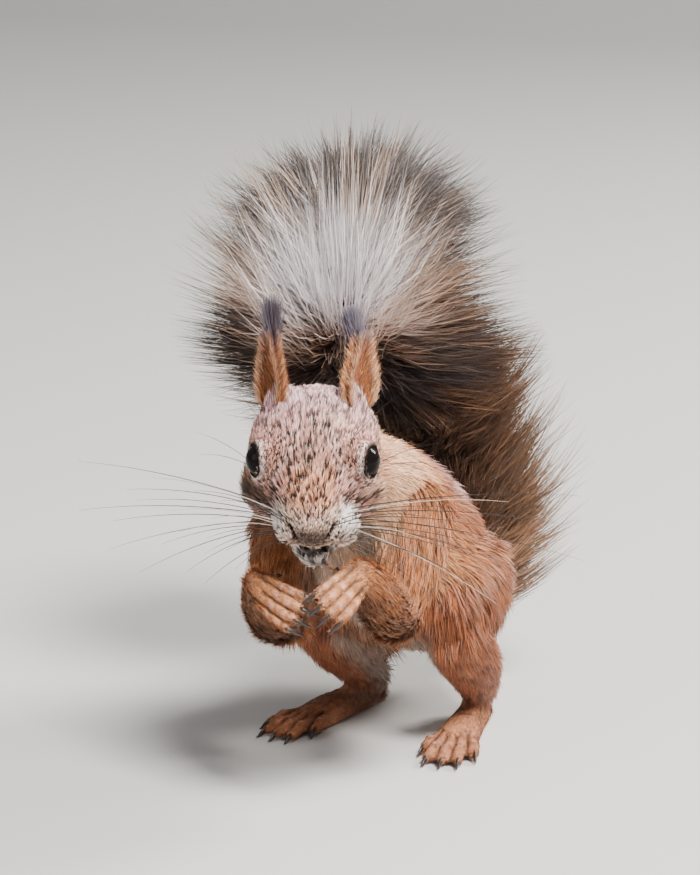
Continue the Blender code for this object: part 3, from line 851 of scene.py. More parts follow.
def bodyMarkings(points, normals, weights, patchy):
    local = points - bodyShift
    y, z = local[:, 1], local[:, 2]
    # Trunk and neck: a greyer back, paler at the top as painted rim sheen, orange flanks, a pale belly
    # darkened as painted shade, and a neck front brightened as painted light.
    core = np.clip(partShare(weights, "trunk") + partShare(weights, "neck"), 0, 1)
    lift = spineLift(local) + patchy
    base = mixed(
        filled("orange", len(points)),
        ("red", core * ramp(lift, -0.3, 0.3) * ramp(y, 44, 66) * 0.85),
        # Partly painted sheen: the back's grey-lilac coat is made pale, as rim light on it.
        ("lilacSheen", core * ramp(lift, 0.35, 0.8) * ramp(y, 50, 66) * 0.8),
        ("tan", core * ramp(lift, -0.1, -0.45) * 0.4),
        # Painted light: the neck's front and the chest are brightened, against the head's shadow over them.
        ("litPeach", core * ramp(y, 56, 38) * 0.75),
        # Painted shade: the pale belly is darkened, as in shadow.
        ("shadedBelly", core * ramp(lift, -0.55, -0.85)),
    )
    # Limbs: redder outside, pale within, that pale darkened as painted shade.
    for side, sign in sides.items():
        inward = -normals[:, 0] * sign
        hand = weights["hand_" + side]
        leg = np.clip(weights["thigh_" + side] + weights["shank_" + side], 0, 1)
        base = mixed(base, ("red", leg * (0.92 + patchy))) * (1 - 0.15 * leg[:, None])
        arm = np.clip(weights["upper_arm_" + side] + weights["forearm_" + side], 0, 1)
        base = mixed(
            base,
            ("shadedBelly", leg * ramp(inward, 0.55, 0.9) * 0.75),
            # Painted rim sheen: the back of the thighs, towards the rump, is grey-lilac.
            ("lilacSheen", leg * ramp(y, 84, 98) * ramp(z, 25, 40) * 0.85),
            ("red", arm * (0.25 + patchy * 2)),
            ("shadedBelly", arm * ramp(inward, 0.55, 0.95) * ramp(z, 90, 70) * 0.5),
        )
        # Painted shade: each forearm is darker the more its skin faces down.
        base = base * (1 - 0.45 * weights["forearm_" + side] * ramp(normals[:, 2], 0.1, -0.7) * 1.25)[:, None]
        base = mixed(base * (1 + 0.35 * hand)[:, None], ("tan", hand * 0.4))
        base = base * (1 - 0.2 * weights["foot_" + side])[:, None]
    return mixed(base, ("brown", weights["tail"] * 0.9))


def faceMarkings(points):
    q = headLocal(points)
    f, s, t = q[:, 0], np.abs(q[:, 1]), q[:, 2]
    folded = np.stack((f, s, t), 1)
    onLeft = q[:, 1] > 0
    nostril, edge, cleft = noseLines(q)
    pad = bump(reachFrom(folded, (15, 9.5, -11), (6, 5, 6)), 1.25)
    cheek = bump(alongLine(folded, (8.5, 11.5, -7.5), (2, 18, -12)), 6.0)
    face = mixed(
        filled("forehead", len(points)),
        # Partly painted highlight: the crown is paler and pinker, as sunlit sheen.
        ("crownSheen", ramp(f, -2, -12) * ramp(t, 0, 7) * 0.8),
        ("bridge", ramp(f, 5, 11) * ramp(s, 9, 4) * 0.75 * ramp(f, 21, 17)),
        ("umber", bump(np.hypot((s - 10.3) * 1.25, (f - 5) * 0.7), 6.5) * 0.75),
        # Painted shade: the forehead's middle is darker than the sunlit crown and brows.
        ("umber", bump(np.hypot(s, (f - 4) * 0.9), 9) * 0.45),
        ("tan", bump(np.hypot(f + 3, t + 9), 15) * ramp(s, 11, 17) * 0.75),
        ("cream", ramp(f, 11, 16) * ramp(t, -2, -7) * 0.6),
        # Painted light and shade: the pad is whiter on the lit left side, and the olive cheek patch is darker
        # on the shaded right side.
        ("white", pad * np.where(onLeft, 1, 0.7)),
        ("cream", ramp(t, -14.5, -18) * 0.8),
        ("white", ramp(t, -19, -22) * ramp(f, 5, 12) * 0.6),
        ("olive", cheek * np.where(onLeft, 0.68, 0.98)),
        ("nose", nosePad(q) * 0.92),
        # Painted shade: the nose's edge and cleft are dark in their grooves, and the nostrils are dark
        # within.
        ("dark", np.maximum(bump(edge, 1.2), bump(cleft, 1.1)) * 0.8),
        ("dark", ramp(nostril, 1.1, 0.6) * 0.97),
    )
    for side in sides:
        _, reach, angle = eyeAngles(points, side)
        close = reach < 9
        white = close * bump(np.abs(angle - lidOpening - 10), 6) * 0.9
        face = mixed(face, ("white", white), ("dark", close * ramp(angle, lidOpening + 8, lidOpening + 4)))
    return mixed(
        face,
        ("orange", ramp(f, -17, -25) * ramp(s, 4, 12) * 0.6),
        ("orange", bump(reachFrom(folded, (-15, 12.6, 11), (5, 6, 7)), 1.2) * 0.6),
        # Painted shade: the open mouth's inside is near-black.
        ("mouthShade", mouthShare(q)),
    )


def markings(points, normals, weights):
    patchy = ripple(points, 14, 3) * 0.12 + ripple(points, 5, 4) * 0.08
    head = np.clip(weights["head"] + weights["jaw"], 0, 1)[:, None]
    made = bodyMarkings(points, normals, weights, patchy) * (1 - head) + faceMarkings(points) * head
    return np.clip(made * (1 + patchy[:, None] * 0.35), 0, 1)


def setTint(mesh, colours):
    data = np.ones((len(colours), 4), np.float32)
    data[:, :3] = colours
    mesh.color_attributes.new("tint", "FLOAT_COLOR", "POINT").data.foreach_set("color", data.ravel())


# 1 at the backs of the finger and toe joints, where the skin is nearly bare.
def knucklePatches(points):
    made = np.zeros(len(points))
    for _, kind, joints, _, axes in digits:
        for joint in joints[1:2] if kind == "toe" else joints[1:]:
            made = np.maximum(made, bump(np.linalg.norm(points - joint - axes.up * 1.4, axis=1), 1.7))
    return made


def share(word):
    return partShare(skinWeights, word)


# The skin's tone against the coat's, what is added on the hands and feet, their share of pink,
# and how far painted shade in the grooves darkens the skin and the coat.
skinLookSettings = {"tone": 0.32, "fineTone": 0.43, "pink": 0.2, "grooveShadeSkin": 0.85, "grooveShadeCoat": 0.78}


def skinLook():
    look = Look("skin", 0.8, sockets={"Specular IOR Level": 0.04}).tinted()
    solid = {"noise_dimensions": "3D"}
    grain = look.node("ShaderNodeTexNoise", solid, {"Scale": 1400.0, "Detail": 3.0})
    ridges = look.node("ShaderNodeTexNoise", solid, {"Scale": 300.0, "Detail": 2.0})
    relief = {"Strength": 0.35, "Distance": 0.0004, "Height": grain * 0.6 + ridges * 0.4}
    look.feed("Normal", look.node("ShaderNodeBump", sockets=relief))
    return look.material


knuckles = knucklePatches(skinPoints)
under = np.clip(share("hand") + share("foot"), 0, 1)
grooves = digitGrooves(skinPoints)[0] * under
skinColours = markings(skinPoints, skinNormals, skinWeights)
tone = skinLookSettings["tone"] + skinLookSettings["fineTone"] * under[:, None]
skinTint = mixed(skinColours * tone, ("pink", np.maximum(knuckles, under * skinLookSettings["pink"])))
# Painted shade: the grooves between fingers and toes darken the skin and the coat.
setTint(skinMesh, skinTint * (1 - skinLookSettings["grooveShadeSkin"] * grooves[:, None]))
skinColours = skinColours * (1 - skinLookSettings["grooveShadeCoat"] * grooves[:, None])
addObject("skin", skinMesh, skinLook(), "red_fur", fleshNodes)
print("skin marked")

# the coat

coatSettings = {
    "tapers": {3: (0.9, 0.8, 0), 4: (1.0, 0.95, 0.8, 0)},  # a blade's width at each of its points
    "lowest": 0.1,  # no blade goes nearer to the floor
    "unwrapPatch": 0.003,
    # For each kind of piece: hairs, share of dark tips, hairs in a tuft, how far a tuft draws
    # together, how much the hairs differ in colour and how far they stray.
    "habits": {
        "face": (46000, 0.38, 8, 0.6, 1.1, 0.55),
        "head": (34000, 0.36, 8, 0.6, 1.0, 0.6),
        "body": (40000, 0.2, 8, 0.2, 0.5, 0.7),
        "arms": (26000, 0.2, 8, 0.25, 0.6, 0.7),
        "legs": (33000, 0.2, 9, 0.25, 0.6, 0.7),
    },
    # The hair's length, width and rise on each part.
    "sizes": {
        "head": (3.5, 0.15, 0.17), "jaw": (3.0, 0.22, 0.3), "neck": (9.0, 0.26, 0.28),
        "trunk": (10.5, 0.28, 0.24), "thigh": (9.0, 0.27, 0.22), "shank": (6.5, 0.26, 0.24),
        "upper_arm": (8.0, 0.28, 0.28), "forearm": (5.5, 0.24, 0.25), "hand": (1.35, 0.12, 0.16),
        "foot": (1.6, 0.16, 0.16), "tail": (8.0, 0.4, 0.4),
    },
}


# Random spots on the skin, thick where the weights are high. It returns what blends to them.
def sampleRoots(weightPerTriangle, count, pick):
    a, b, c = (skinPoints[skinTriangles[:, k]] for k in range(3))
    reach = np.cumsum(np.linalg.norm(np.cross(b - a, c - a), axis=1) / 2 * weightPerTriangle)
    which = np.minimum(np.searchsorted(reach, pick.uniform(0, reach[-1], count)), len(reach) - 1)
    u, v = pick.uniform(size=count), pick.uniform(size=count)
    over = u + v > 1
    u[over], v[over] = 1 - u[over], 1 - v[over]
    corner, shares = skinTriangles[which], np.stack((1 - u - v, u, v), 1)
    return lambda values: np.einsum("nk,nkj->nj", shares, values[corner])


# Where each spot lies on an unwrap of the skin, part by part, from 0.02 to 0.98.
def unwrapped(points, weights, names):
    along, around = np.zeros(len(points)), np.zeros(len(points))
    best = np.full(len(points), -1.0)
    for tile, name in enumerate(names):
        own = [bone for bone in bones if boneNames[bone[0]] == name]
        first, last = own[0][1], own[-1][2]
        axis = unit(last - first)
        sideways = unit(np.cross(axis, (0.31, 0.17, 0.93)))
        above = np.cross(axis, sideways)
        q = points - (first + last) / 2
        place = (q @ axis) / (np.linalg.norm(last - first) + 30) + 0.5
        angle = np.arctan2(q @ above, q @ sideways) / (2 * math.pi) + 0.5
        mine = weights[name] > best
        best[mine] = weights[name][mine]
        around[mine] = angle[mine]
        along[mine] = (tile + np.clip(place[mine], 0.01, 0.99)) / len(names)
    return np.stack((0.02 + around * 0.955, 0.02 + along * 0.955), 1)


# Tapered strips, one for each line of points, joined as one mesh.
def bladeMesh(name, lines, widths, sideways, colours, roots):
    count, steps = lines.shape[:2]
    per = 2 * steps - 1
    taper = np.array(coatSettings["tapers"][steps])
    half = widths[:, None, None] * taper[None, :, None] * 0.5 * sideways[:, None, :]
    points, tint = np.empty((count, per, 3)), np.empty((count, per, 3))
    points[:, 0:-1:2] = (lines - half)[:, :-1]
    points[:, 1:-1:2] = (lines + half)[:, :-1]
    points[:, -1] = lines[:, -1]
    points[:, :, 2] = np.maximum(points[:, :, 2], coatSettings["lowest"])
    tint[:, 0:-1:2] = tint[:, 1:-1:2] = colours[:, :-1]
    tint[:, -1] = colours[:, -1]
    # Each strip is made of quads, with a triangle at its tip.
    corners = [c for i in range(0, per - 3, 2) for c in (i, i + 1, i + 3, i + 2)]
    corners += [per - 3, per - 2, per - 1]
    loops = (np.arange(count)[:, None] * per + np.array(corners)[None]).ravel()
    totals = np.tile([4] * (steps - 2) + [3], count)
    mesh = bpy.data.meshes.new(name)
    mesh.vertices.add(count * per)
    mesh.loops.add(len(loops))
    mesh.polygons.add(len(totals))
    mesh.loops.foreach_set("vertex_index", loops.astype(np.int32))
    mesh.polygons.foreach_set("loop_start", (np.cumsum(totals) - totals).astype(np.int32))
    mesh.polygons.foreach_set("loop_total", totals.astype(np.int32))
    mesh.vertices.foreach_set("co", (points * 0.001).astype(np.float32).ravel())
    mesh.update(calc_edges=True)
    setTint(mesh, np.clip(tint, 0, 1).reshape(-1, 3))
    size = coatSettings["unwrapPatch"]
    patch = np.full((per, 2), (size / 2, size))
    patch[:-1, 0] = np.tile((0.0, size), steps - 1)
    patch[:-1, 1] = np.repeat(np.arange(steps - 1), 2) * size / (steps - 1)
    uv = (roots[:, None] + patch[None]).reshape(-1, 2)[loops]
    mesh.uv_layers.new(name="OFBake").data.foreach_set("uv", uv.astype(np.float32).ravel())
    mesh.shade_smooth()
    return mesh


coatGloss = {"Specular IOR Level": 0.35, "Sheen Weight": 0.1, "Sheen Roughness": 0.5}
coatLook = Look("coat", 0.5, sockets=coatGloss).tinted()
grown = {"blades": 0, "triangles": 0}


def addCoat(name, lines, widths, flatWay, colours, uv, slot, replaces=()):
    mesh = bladeMesh(name, lines, widths, flatWay, colours, uv)
    addObject(name, mesh, coatLook.material, slot, replaces)
    grown["blades"] += len(lines)
    grown["triangles"] += len(lines) * (2 * lines.shape[1] - 3)


# Each point's nearest among the first of the points: the middles of the tufts.
def nearestSeeds(points, seedCount):
    tree = KDTree(seedCount)
    for i, point in enumerate(points[:seedCount].tolist()):
        tree.insert(point, i)
    tree.balance()
    return np.array([tree.find(point)[1] for point in points.tolist()])


# One way turned towards another by an angle, for each point.
def turned(way, other, angle):
    return way * np.cos(angle)[:, None] + other * np.sin(angle)[:, None]


# A piece of short coat, from how densely it grows at each point of the skin.
def groomed(name, seed, thick, slot, names, count, fleck, perTuft, pull, contrast, stray):
    pick = np.random.RandomState(seed)
    blend = sampleRoots(thick[skinTriangles].mean(1), count, pick)
    roots, ways, tint = blend(skinPoints), blend(skinWays), blend(skinColours)
    normals = unit(blend(skinNormals))
    ways = unit(ways - normals * (ways * normals).sum(1, keepdims=True))
    length, width, rise = blend(np.stack((hairLength, hairWidth, hairRise), 1)).T
    seeds = nearestSeeds(roots, count // perTuft)
    half = (length * pick.uniform(0.65, 1.2, count) * 0.5)[:, None]
    wander = (pick.normal(size=count) * 0.2 + ripple(roots, 6, seed + 5) * 0.12) * stray
    ways = turned(ways, np.cross(normals, ways), wander)
    flatWay = turned(np.cross(normals, ways), normals, pick.normal(size=count) * 0.45)
    lift = rise * pick.uniform(0.6, 1.4, count) * pick.uniform(0.7, 1.35, count)[seeds]
    start = roots - normals * 0.15
    middle = start + turned(ways, normals, lift * 1.5) * half
    end = middle + turned(ways, normals, lift * 0.45) * half
    # The hairs of a tuft lean together towards its middle hair.
    end = end + (end[seeds] - end) * (pull * pick.uniform(0.6, 1.3, count))[:, None]
    middle = middle + (middle[seeds] - middle) * pull * 0.35
    # Each hair is dark at its root. Its tip is plain, dark or pale, mostly like the rest of its tuft.
    chance = pick.uniform(size=count)
    chance = np.where(pick.uniform(size=count) < 0.92, chance[seeds], chance)
    tone = 1 + pick.normal(size=count) * 0.10
    tone = tone * (1 + np.clip(pick.normal(size=count) * 0.3 * contrast, -0.5, 0.5)[seeds])
    plain = ramp(tint.min(1), 0.45, 0.8)
    darker, paler = chance < fleck * (1 - 0.9 * plain), chance > 1 - fleck * 0.9
    tip = tint * np.where(darker, 1 - 0.92 * contrast, 1 + 0.5 * contrast)[:, None]
    white = palette["white"] * (1, 0.96, 0.91) * np.clip(tint.max(1) * 1.3, 0, 1)[:, None]
    tip = np.where(paler[:, None], tip * 0.6 + white * 0.45 * contrast, tip)
    shade = np.where(paler, 0.9, 1 - 0.48 * contrast * (1 - plain))
    body = tint * np.where(darker, 1 - 0.88 * contrast, shade)[:, None]
    colours = np.stack((tint * (0.44 - 0.3 * contrast), body * tone[:, None], tip * tone[:, None]), 1)
    uv = unwrapped(roots, nearBones(roots)[0], names)
    widths = width * pick.uniform(0.75, 1.25, count)
    addCoat(name, np.stack((start, middle, end), 1), widths, flatWay, colours, uv, slot)


# How likely hair is, how long, how wide and how raised it is at each point of the skin, and the
# way it lies there.
def regions(ways):
    q = headLocal(skinPoints)
    folded = q * np.where(q[:, 1:2] < 0, (1, -1, 1), 1)
    sizes = coatSettings["sizes"].items()
    length, width, rise = (sum(share(part) * size[i] for part, size in sizes) for i in range(3))
    head = share("head")
    muzzle = bump(reachFrom(q, (22, 0.5, -9)), 17) * head
    cheeks = bump(alongLine(folded, (5, 15, -12), (-6, 19, -14)), 6.0) * head
    pads = bump(reachFrom(folded, (13.5, 10.0, -12.5), (6, 4.5, 5)), 1.2) * head
    length = length * (1 - 0.72 * muzzle) + 2.6 * cheeks + 1.6 * pads
    width = width * (1 - 0.35 * muzzle)
    rise = rise + 0.28 * cheeks + 0.12 * pads
    thick = 1 - 0.6 * knuckles
    for side, sign in sides.items():
        away, reach, angle = eyeAngles(skinPoints, side)
        gap = np.maximum(reach - 5.8, 0)
        length = length * (1 - 0.66 * bump(gap, 6.0))
        width = width * (1 - 0.3 * bump(gap, 6.0))
        thick[(reach < 7.5) & (angle < lidOpening + 3)] = 0
        # The hair parts round the eye.
        tangent = away - (away @ eyeAxes[side])[:, None] * eyeAxes[side]
        ways = ways + unit(tangent) * (0.4 * bump(gap, 4.0))[:, None]
        # Longer hair stands round the ear's root.
        earRoot = bump(reachFrom(q, (-16, 12.6 * sign, 9), (6, 7, 7)), 1.1) * head
        length = length + 3.2 * earRoot
        ways = ways + headUp * 0.9 * earRoot[:, None]
    thigh = (share("thigh") * 0.9)[:, None]
    ways = ways * (1 - thigh) + np.array((0, 0.3, -0.95)) * thigh
    nostril, edge, cleft = noseLines(q)
    thick[(skinPoints[:, 2] < 0.8) | (mouthShare(q) > 0.5) | (nostril < 0.7)] = 0
    thick *= 1 - 0.6 * np.maximum(bump(edge, 0.8), bump(cleft, 0.8))
    thick *= 1 - 0.85 * grooves
    closeToNose = np.maximum(bump(nostril, 3.0), bump(np.minimum(edge, cleft), 1.6))
    chin = bump(reachFrom(q, (17.5, 0.8, -24.5), (4.0, 5.0, 2.5)), 1.2) * head
    # The lip's hair hangs over the mouth.
    lip = bump(reachFrom(q, (18.4, 0.8, -18.4), (4.0, 6.0, 2.6)), 1.15)
    ways = ways + (-headUp * 2.0 + headForward * 0.3) * lip[:, None]
    length = length * (1 - 0.55 * closeToNose) * (1 - 0.45 * chin) + 2.2 * lip
    return thick * (1 - 0.4 * lip), length, width, rise, ways


def growCoat():
    isHead = share("head") + share("jaw") > 0.5
    arms = share("upper_arm") + share("forearm") + share("hand") > 0.5
    legs = share("thigh") + share("shank") + share("foot") > 0.5
    core = ~(isHead | (share("tail") > 0.6) | arms | legs)
    forward, sideways = headLocal(skinPoints)[:, :2].T
    face = isHead & (forward > -3)
    onLeft = skinPoints[:, 0] > bodyShift[0]
    limbs = {side: [f"{part}_{side}" for part in limbParts] for side in sides}
    # Where each piece grows, its slot and the parts under it.
    pieces = {
        "face_left": (face & (sideways > 0), "grey_brown_fur", ["head", "jaw"]),
        "face_right": (face & (sideways <= 0), "grey_brown_fur", ["head", "jaw"]),
        "head": (isHead & (forward <= -3), "grey_brown_fur", ["head", "jaw"]),
        "body_left": (core & onLeft, "grey_brown_fur", ["neck", "trunk"]),
        "body_right": (core & ~onLeft, "grey_brown_fur", ["neck", "trunk"]),
        "arms_left": (arms & onLeft, "red_fur", limbs["left"]),
        "arms_right": (arms & ~onLeft, "red_fur", limbs["right"]),
        "legs_left": (legs & onLeft, "red_fur", limbs["left"]),
        "legs_right": (legs & ~onLeft, "red_fur", limbs["right"]),
    }
    # Small parts need more hairs for their area than large ones.
    thick = density * (2.2 / np.maximum(hairLength, 0.9)) ** 0.8
    for number, (name, (mask, slot, names)) in enumerate(pieces.items()):
        habit = coatSettings["habits"][name.split("_")[0]]
        groomed("coat_" + name, 100 + number, thick * mask, slot, names, *habit)


density, hairLength, hairWidth, hairRise, skinWays = regions(skinWays)
growCoat()
print("coat", grown)

# the tail

tailSettings = {
    # Where each piece starts and stops along the tail, and the solids it stands for.
    "pieces": (
        (0.02, 0.30, ("tail_root",)),
        (0.25, 0.52, ("tail_lower", "tail_middle")),
        (0.46, 0.76, ("tail_bend",)),
        (0.70, 0.975, ("tail_end",)),
    ),
    "hairs": 22000,
    "perTuft": 12,
    "perLock": 90,
    # The under hair, the middle and the longest hair: up to which share, and how far out they reach.
    "fills": ((0.34, (0.3, 0.62)), (0.86, (0.6, 0.9)), (1.0, (0.88, 1.16))),
    "longest": 1.15,
    "rootRadius": ((0, 0.13, 0.4, 1), (6.5, 5, 3.6, 1.5)),
    # How much fuller the lower tail is on its outer side, by height.
    "fuller": ((30, 47, 65, 85, 105, 130), (0.3, 0.5, 0.36, 0.18, 0.12, 0.0)),
    "fanMiddle": (-16, 143),
}


def tailFrame(count=120):
    rows = smoothRows(tailRows, count)
    points = rows[:, :3] + bodyShift
    along = unit(np.gradient(points, axis=0))
    turn = np.radians(rows[:, 6])
    side = np.stack((np.cos(turn), np.sin(turn), np.zeros(count)), 1)
    across = unit(side - along * (side * along).sum(1, keepdims=True))
    return rows, points, along, across, np.cross(along, across)


# The values at fractional places along the tail.
def sampled(values, place):
    k = np.clip(place.astype(int), 0, len(values) - 2)
    t = (place - k)[:, None]
    return values[k] * (1 - t) + values[k + 1] * t


def growTail(number, low, high, nodes):
    rows, points, along, across, under = tailFrame()
    arc = np.concatenate(([0], np.cumsum(np.linalg.norm(np.diff(points, axis=0), axis=1))))
    whole, places, count = arc[-1], np.arange(len(arc)), tailSettings["hairs"]
    pick = np.random.RandomState(300 + number)
    start = pick.uniform(low, high, count) * whole
    shape = start / whole
    angle = pick.uniform(-math.pi, math.pi, count)
    angle = angle - 0.35 * np.sin(2 * angle)  # hairs part to the two sides
    cosine, sine = np.cos(angle), np.sin(angle)
    # Tufts gather in larger locks, some of them longer than the rest.
    spots = np.stack((start, 6 * cosine, 6 * sine), 1)
    seeds = nearestSeeds(spots, count // tailSettings["perTuft"])
    locks = nearestSeeds(spots, count // tailSettings["perLock"])
    kind = pick.uniform(size=count)
    limits, spans = zip(*tailSettings["fills"])
    fill = np.select([kind < limit for limit in limits], [pick.uniform(*span, count) for span in spans])
    fill = fill * (1 + np.clip(pick.normal(size=count) * 0.07, -0.12, 0.14)[seeds])
    fill = fill * (1 + np.clip(pick.normal(size=count) * 0.1, -0.16, 0.2)[locks])
    fill = np.minimum(fill, tailSettings["longest"])
    lean = pick.uniform(8, 22, count)
    stop = start + (lean * 0.4 + lean[seeds] * 0.6) * (0.45 + fill * 0.65)
    past = np.maximum(stop - whole, 0)
    a, b = np.interp(start, arc, places), np.interp(np.minimum(stop, whole * 0.999), arc, places)
    row = sampled(rows, b)
    tipCosine, tipSine = (v * 0.3 + v[seeds] * 0.35 + v[locks] * 0.35 for v in (cosine, sine))
    size = np.hypot(tipCosine, tipSine) + 1e-6
    tipCosine, tipSine = tipCosine / size, tipSine / size
    deep = np.where(tipSine > 0, row[:, 5], row[:, 4])
    radius = 1 / np.sqrt((tipCosine / row[:, 3]) ** 2 + (tipSine / deep) ** 2)
    fuller = np.interp(row[:, 2], *tailSettings["fuller"]) * (b < 60)
    radius = radius * (1 + ramp(tipCosine, 0, 0.7) * fuller)
    outB = sampled(across, b) * tipCosine[:, None] + sampled(under, b) * tipSine[:, None]
    outA = sampled(across, a) * cosine[:, None] + sampled(under, a) * sine[:, None]
    root = sampled(points, a) + outA * np.interp(shape, *tailSettings["rootRadius"])[:, None]
    tip = sampled(points, b) + outB * (radius * fill)[:, None] + along[-1] * (past * 0.8)[:, None]
    reach = np.linalg.norm(tip - root, axis=1)
    wave = pick.normal(size=(count, 3)) * (reach * 0.03)[:, None]
    bend = root + (outA * 0.78 + sampled(along, a) * 0.1) * (reach * 0.55)[:, None] + wave
    steps = np.linspace(0, 1, 4)
    lines = np.stack([root * (1 - s) ** 2 + bend * 2 * s * (1 - s) + tip * s * s for s in steps], 1)
    flatWay = unit(np.cross(tip - root, pick.normal(size=(count, 3))))
    colours = tailColours(shape, lines, outB[:, 1], steps, pick, seeds)
    around, forth = angle / (2 * math.pi) + 0.5, (shape - low) / (high - low)
    uv = np.clip(0.02 + np.stack((around, forth), 1) * 0.95, 0.01, 0.98)
    widths = 0.42 * pick.uniform(0.6, 1.25, count) * np.where(fill > 0.88, 0.8, 1)
    addCoat(f"coat_tail_{number}", lines, widths, flatWay, colours, uv, "dark_tail_fur", nodes)


# Each hair has a dark root, a pale middle and a dark tip. The fan is palest in its middle, and painted shade
# darkens it below.
def tailColours(shape, lines, backward, steps, pick, seeds):
    count = len(shape)
    tone = 1 + pick.normal(size=count) * 0.14
    tone = tone * (1 + np.clip(pick.normal(size=count) * 0.2, -0.4, 0.4)[seeds])
    tanned, plain, streak = (pick.uniform(size=count)[seeds] < chance for chance in (0.35, 0.2, 0.16))
    jitter = 1 + (pick.normal(size=count) * 0.1 + pick.normal(size=count)[seeds] * 0.14)
    fan = ramp(shape, 0.36, 0.48)[:, None]
    behind = ramp(backward, -0.1, 0.3)[:, None]
    made = np.empty((count, len(steps), 3))
    for i, step in enumerate(steps):
        local = lines[:, i] - bodyShift
        aside = np.abs(local[:, 0] - tailSettings["fanMiddle"][0])
        lift = local[:, 2] - tailSettings["fanMiddle"][1]
        above = lift > 0
        ring = np.hypot(aside / 19, lift / np.where(above, 15, 17)) * jitter
        smoke = ramp(ring, np.where(above, 1.12, 1.7), np.where(above, 1.48, 2.1))
        lower = mixed(
            filled("brown", count),
            ("tailTan", ramp(np.hypot(aside, lift * 0.6), 10, 34) * np.where(tanned, 0.9, 0.25)),
            ("dark", ramp(step, 0.75, 1.0) * np.where(tanned, 0.1, 0.6)),
        )
        upper = mixed(
            filled("tailWhite", count),
            ("tailCream", ramp(ring, 0.95, 1.3) * ramp(lift, -22, -8)),
            ("tailTan", ramp(aside, 22, 34) * 0.75),
            ("tailTan", ramp(lift, -10, -24) * 0.9),
            # Painted shade: below the fan's middle the hair darkens, as the tail's underside in shadow.
            ("dark", ramp(lift, -18, -34) * 0.7),
            ("tailSmoke", streak * ramp(step, 0.5, 1) * 0.7),
        )
        back = mixed(
            upper * 0.55,
            ("tailTan", np.full(count, 0.8)),
            ("brown", ramp(step, 0.45, 0.95) * np.where(tanned, 0.2, 0.9)),
        )
        upper = mixed(upper, ("tailSmoke", ramp(shape, 0.74, 0.95) * 0.85))
        upper = mixed(
            upper * (1 - behind) + back * behind,
            ("tailSmoke", smoke * np.where(plain, 0.4, 0.97)),
            ("dark", np.full(count, ramp(step, 0.4, 0.05) * 0.8)),
        )
        made[:, i] = (lower * (1 - fan) + upper * fan) * tone[:, None]
    return made


for number, piece in enumerate(tailSettings["pieces"]):
    growTail(number, *piece)
print("tail", grown)

# eyes

eyeSettings = {"ballRadius": 5.4, "cornea": 0.25, "lidRadius": 5.6, "lidWidth": 0.36, "lidSteps": 48}


def buildEyes():
    ballLook = Look("eye", 0.04, (0.006, 0.0045, 0.004), {"Specular IOR Level": 0.06})
    lidLook = Look("lid", 0.8, (0.010, 0.008, 0.007), {"Specular IOR Level": 0.02})
    steps = eyeSettings["lidSteps"]
    for side, sign in sides.items():
        centre, outward = eyeMiddles[side], eyeAxes[side]
        points, faces = ballShape(centre, np.full(3, eyeSettings["ballRadius"]), 40, 24)
        ways = unit(points - centre)
        points = points + ways * (eyeSettings["cornea"] * ramp(ways @ outward, 0.7, 1.0))[:, None]
        ball = simpleMesh("eyeball_" + side, points, faces)
        addObject("eyeball_" + side, ball, ballLook.material, "eye", ["eye_" + side])
        # The lids' rims: a ring that follows the eyeball, longer towards the nose.
        forwardWay = unit(headForward - outward * (headForward @ outward))
        upWay = np.cross(forwardWay, outward) * sign
        upWay = upWay * np.sign(upWay @ headUp)
        turn = 2 * math.pi * np.arange(steps + 1)[:, None] / steps
        c, s = np.cos(turn), np.sin(turn)
        opening = np.radians(lidOpening + 1 + 4 * np.abs(c) ** 6 - 1.5 * np.abs(s))
        ways = outward * np.cos(opening) + (forwardWay * c + upWay * s) * np.sin(opening)
        sizes = np.full(steps + 1, eyeSettings["lidWidth"])
        rim = tube(centre + ways * eyeSettings["lidRadius"], sizes, sizes, outward, 8)
        addObject("lid_" + side, simpleMesh("lid_" + side, *rim), lidLook.material, "nose")


buildEyes()
print("eyes")

# ears

earSettings = {
    "root": (-17.0, 12.6, 8.2),
    "lean": (-0.62, 0.03, 0.78),
    "facing": (0.62, 0.78, 0.0),
    "length": 24.5,
    "thickness": 0.35,
    "steps": 22,
    "columns": 13,
    # The ear's outline: height, half width and how far it is hollowed.
    "outline": (
        (-0.14, 5.0, 1.8), (0.0, 5.9, 2.6), (0.12, 5.8, 2.8), (0.26, 4.7, 2.2), (0.40, 3.3, 1.4),
        (0.52, 2.1, 0.8), (0.60, 1.2, 0.4), (0.63, 0.5, 0.1),
    ),
    "hairs": 10000,
    "fringe": 2600,  # how many of the hairs grow along the edges
    "tuft": 1700,
    # Where the tuft ends: how far above the ear's tip and how far inwards.
    "tuftTop": {"left": (9.0, 3.0), "right": (11.5, 0.3)},
}


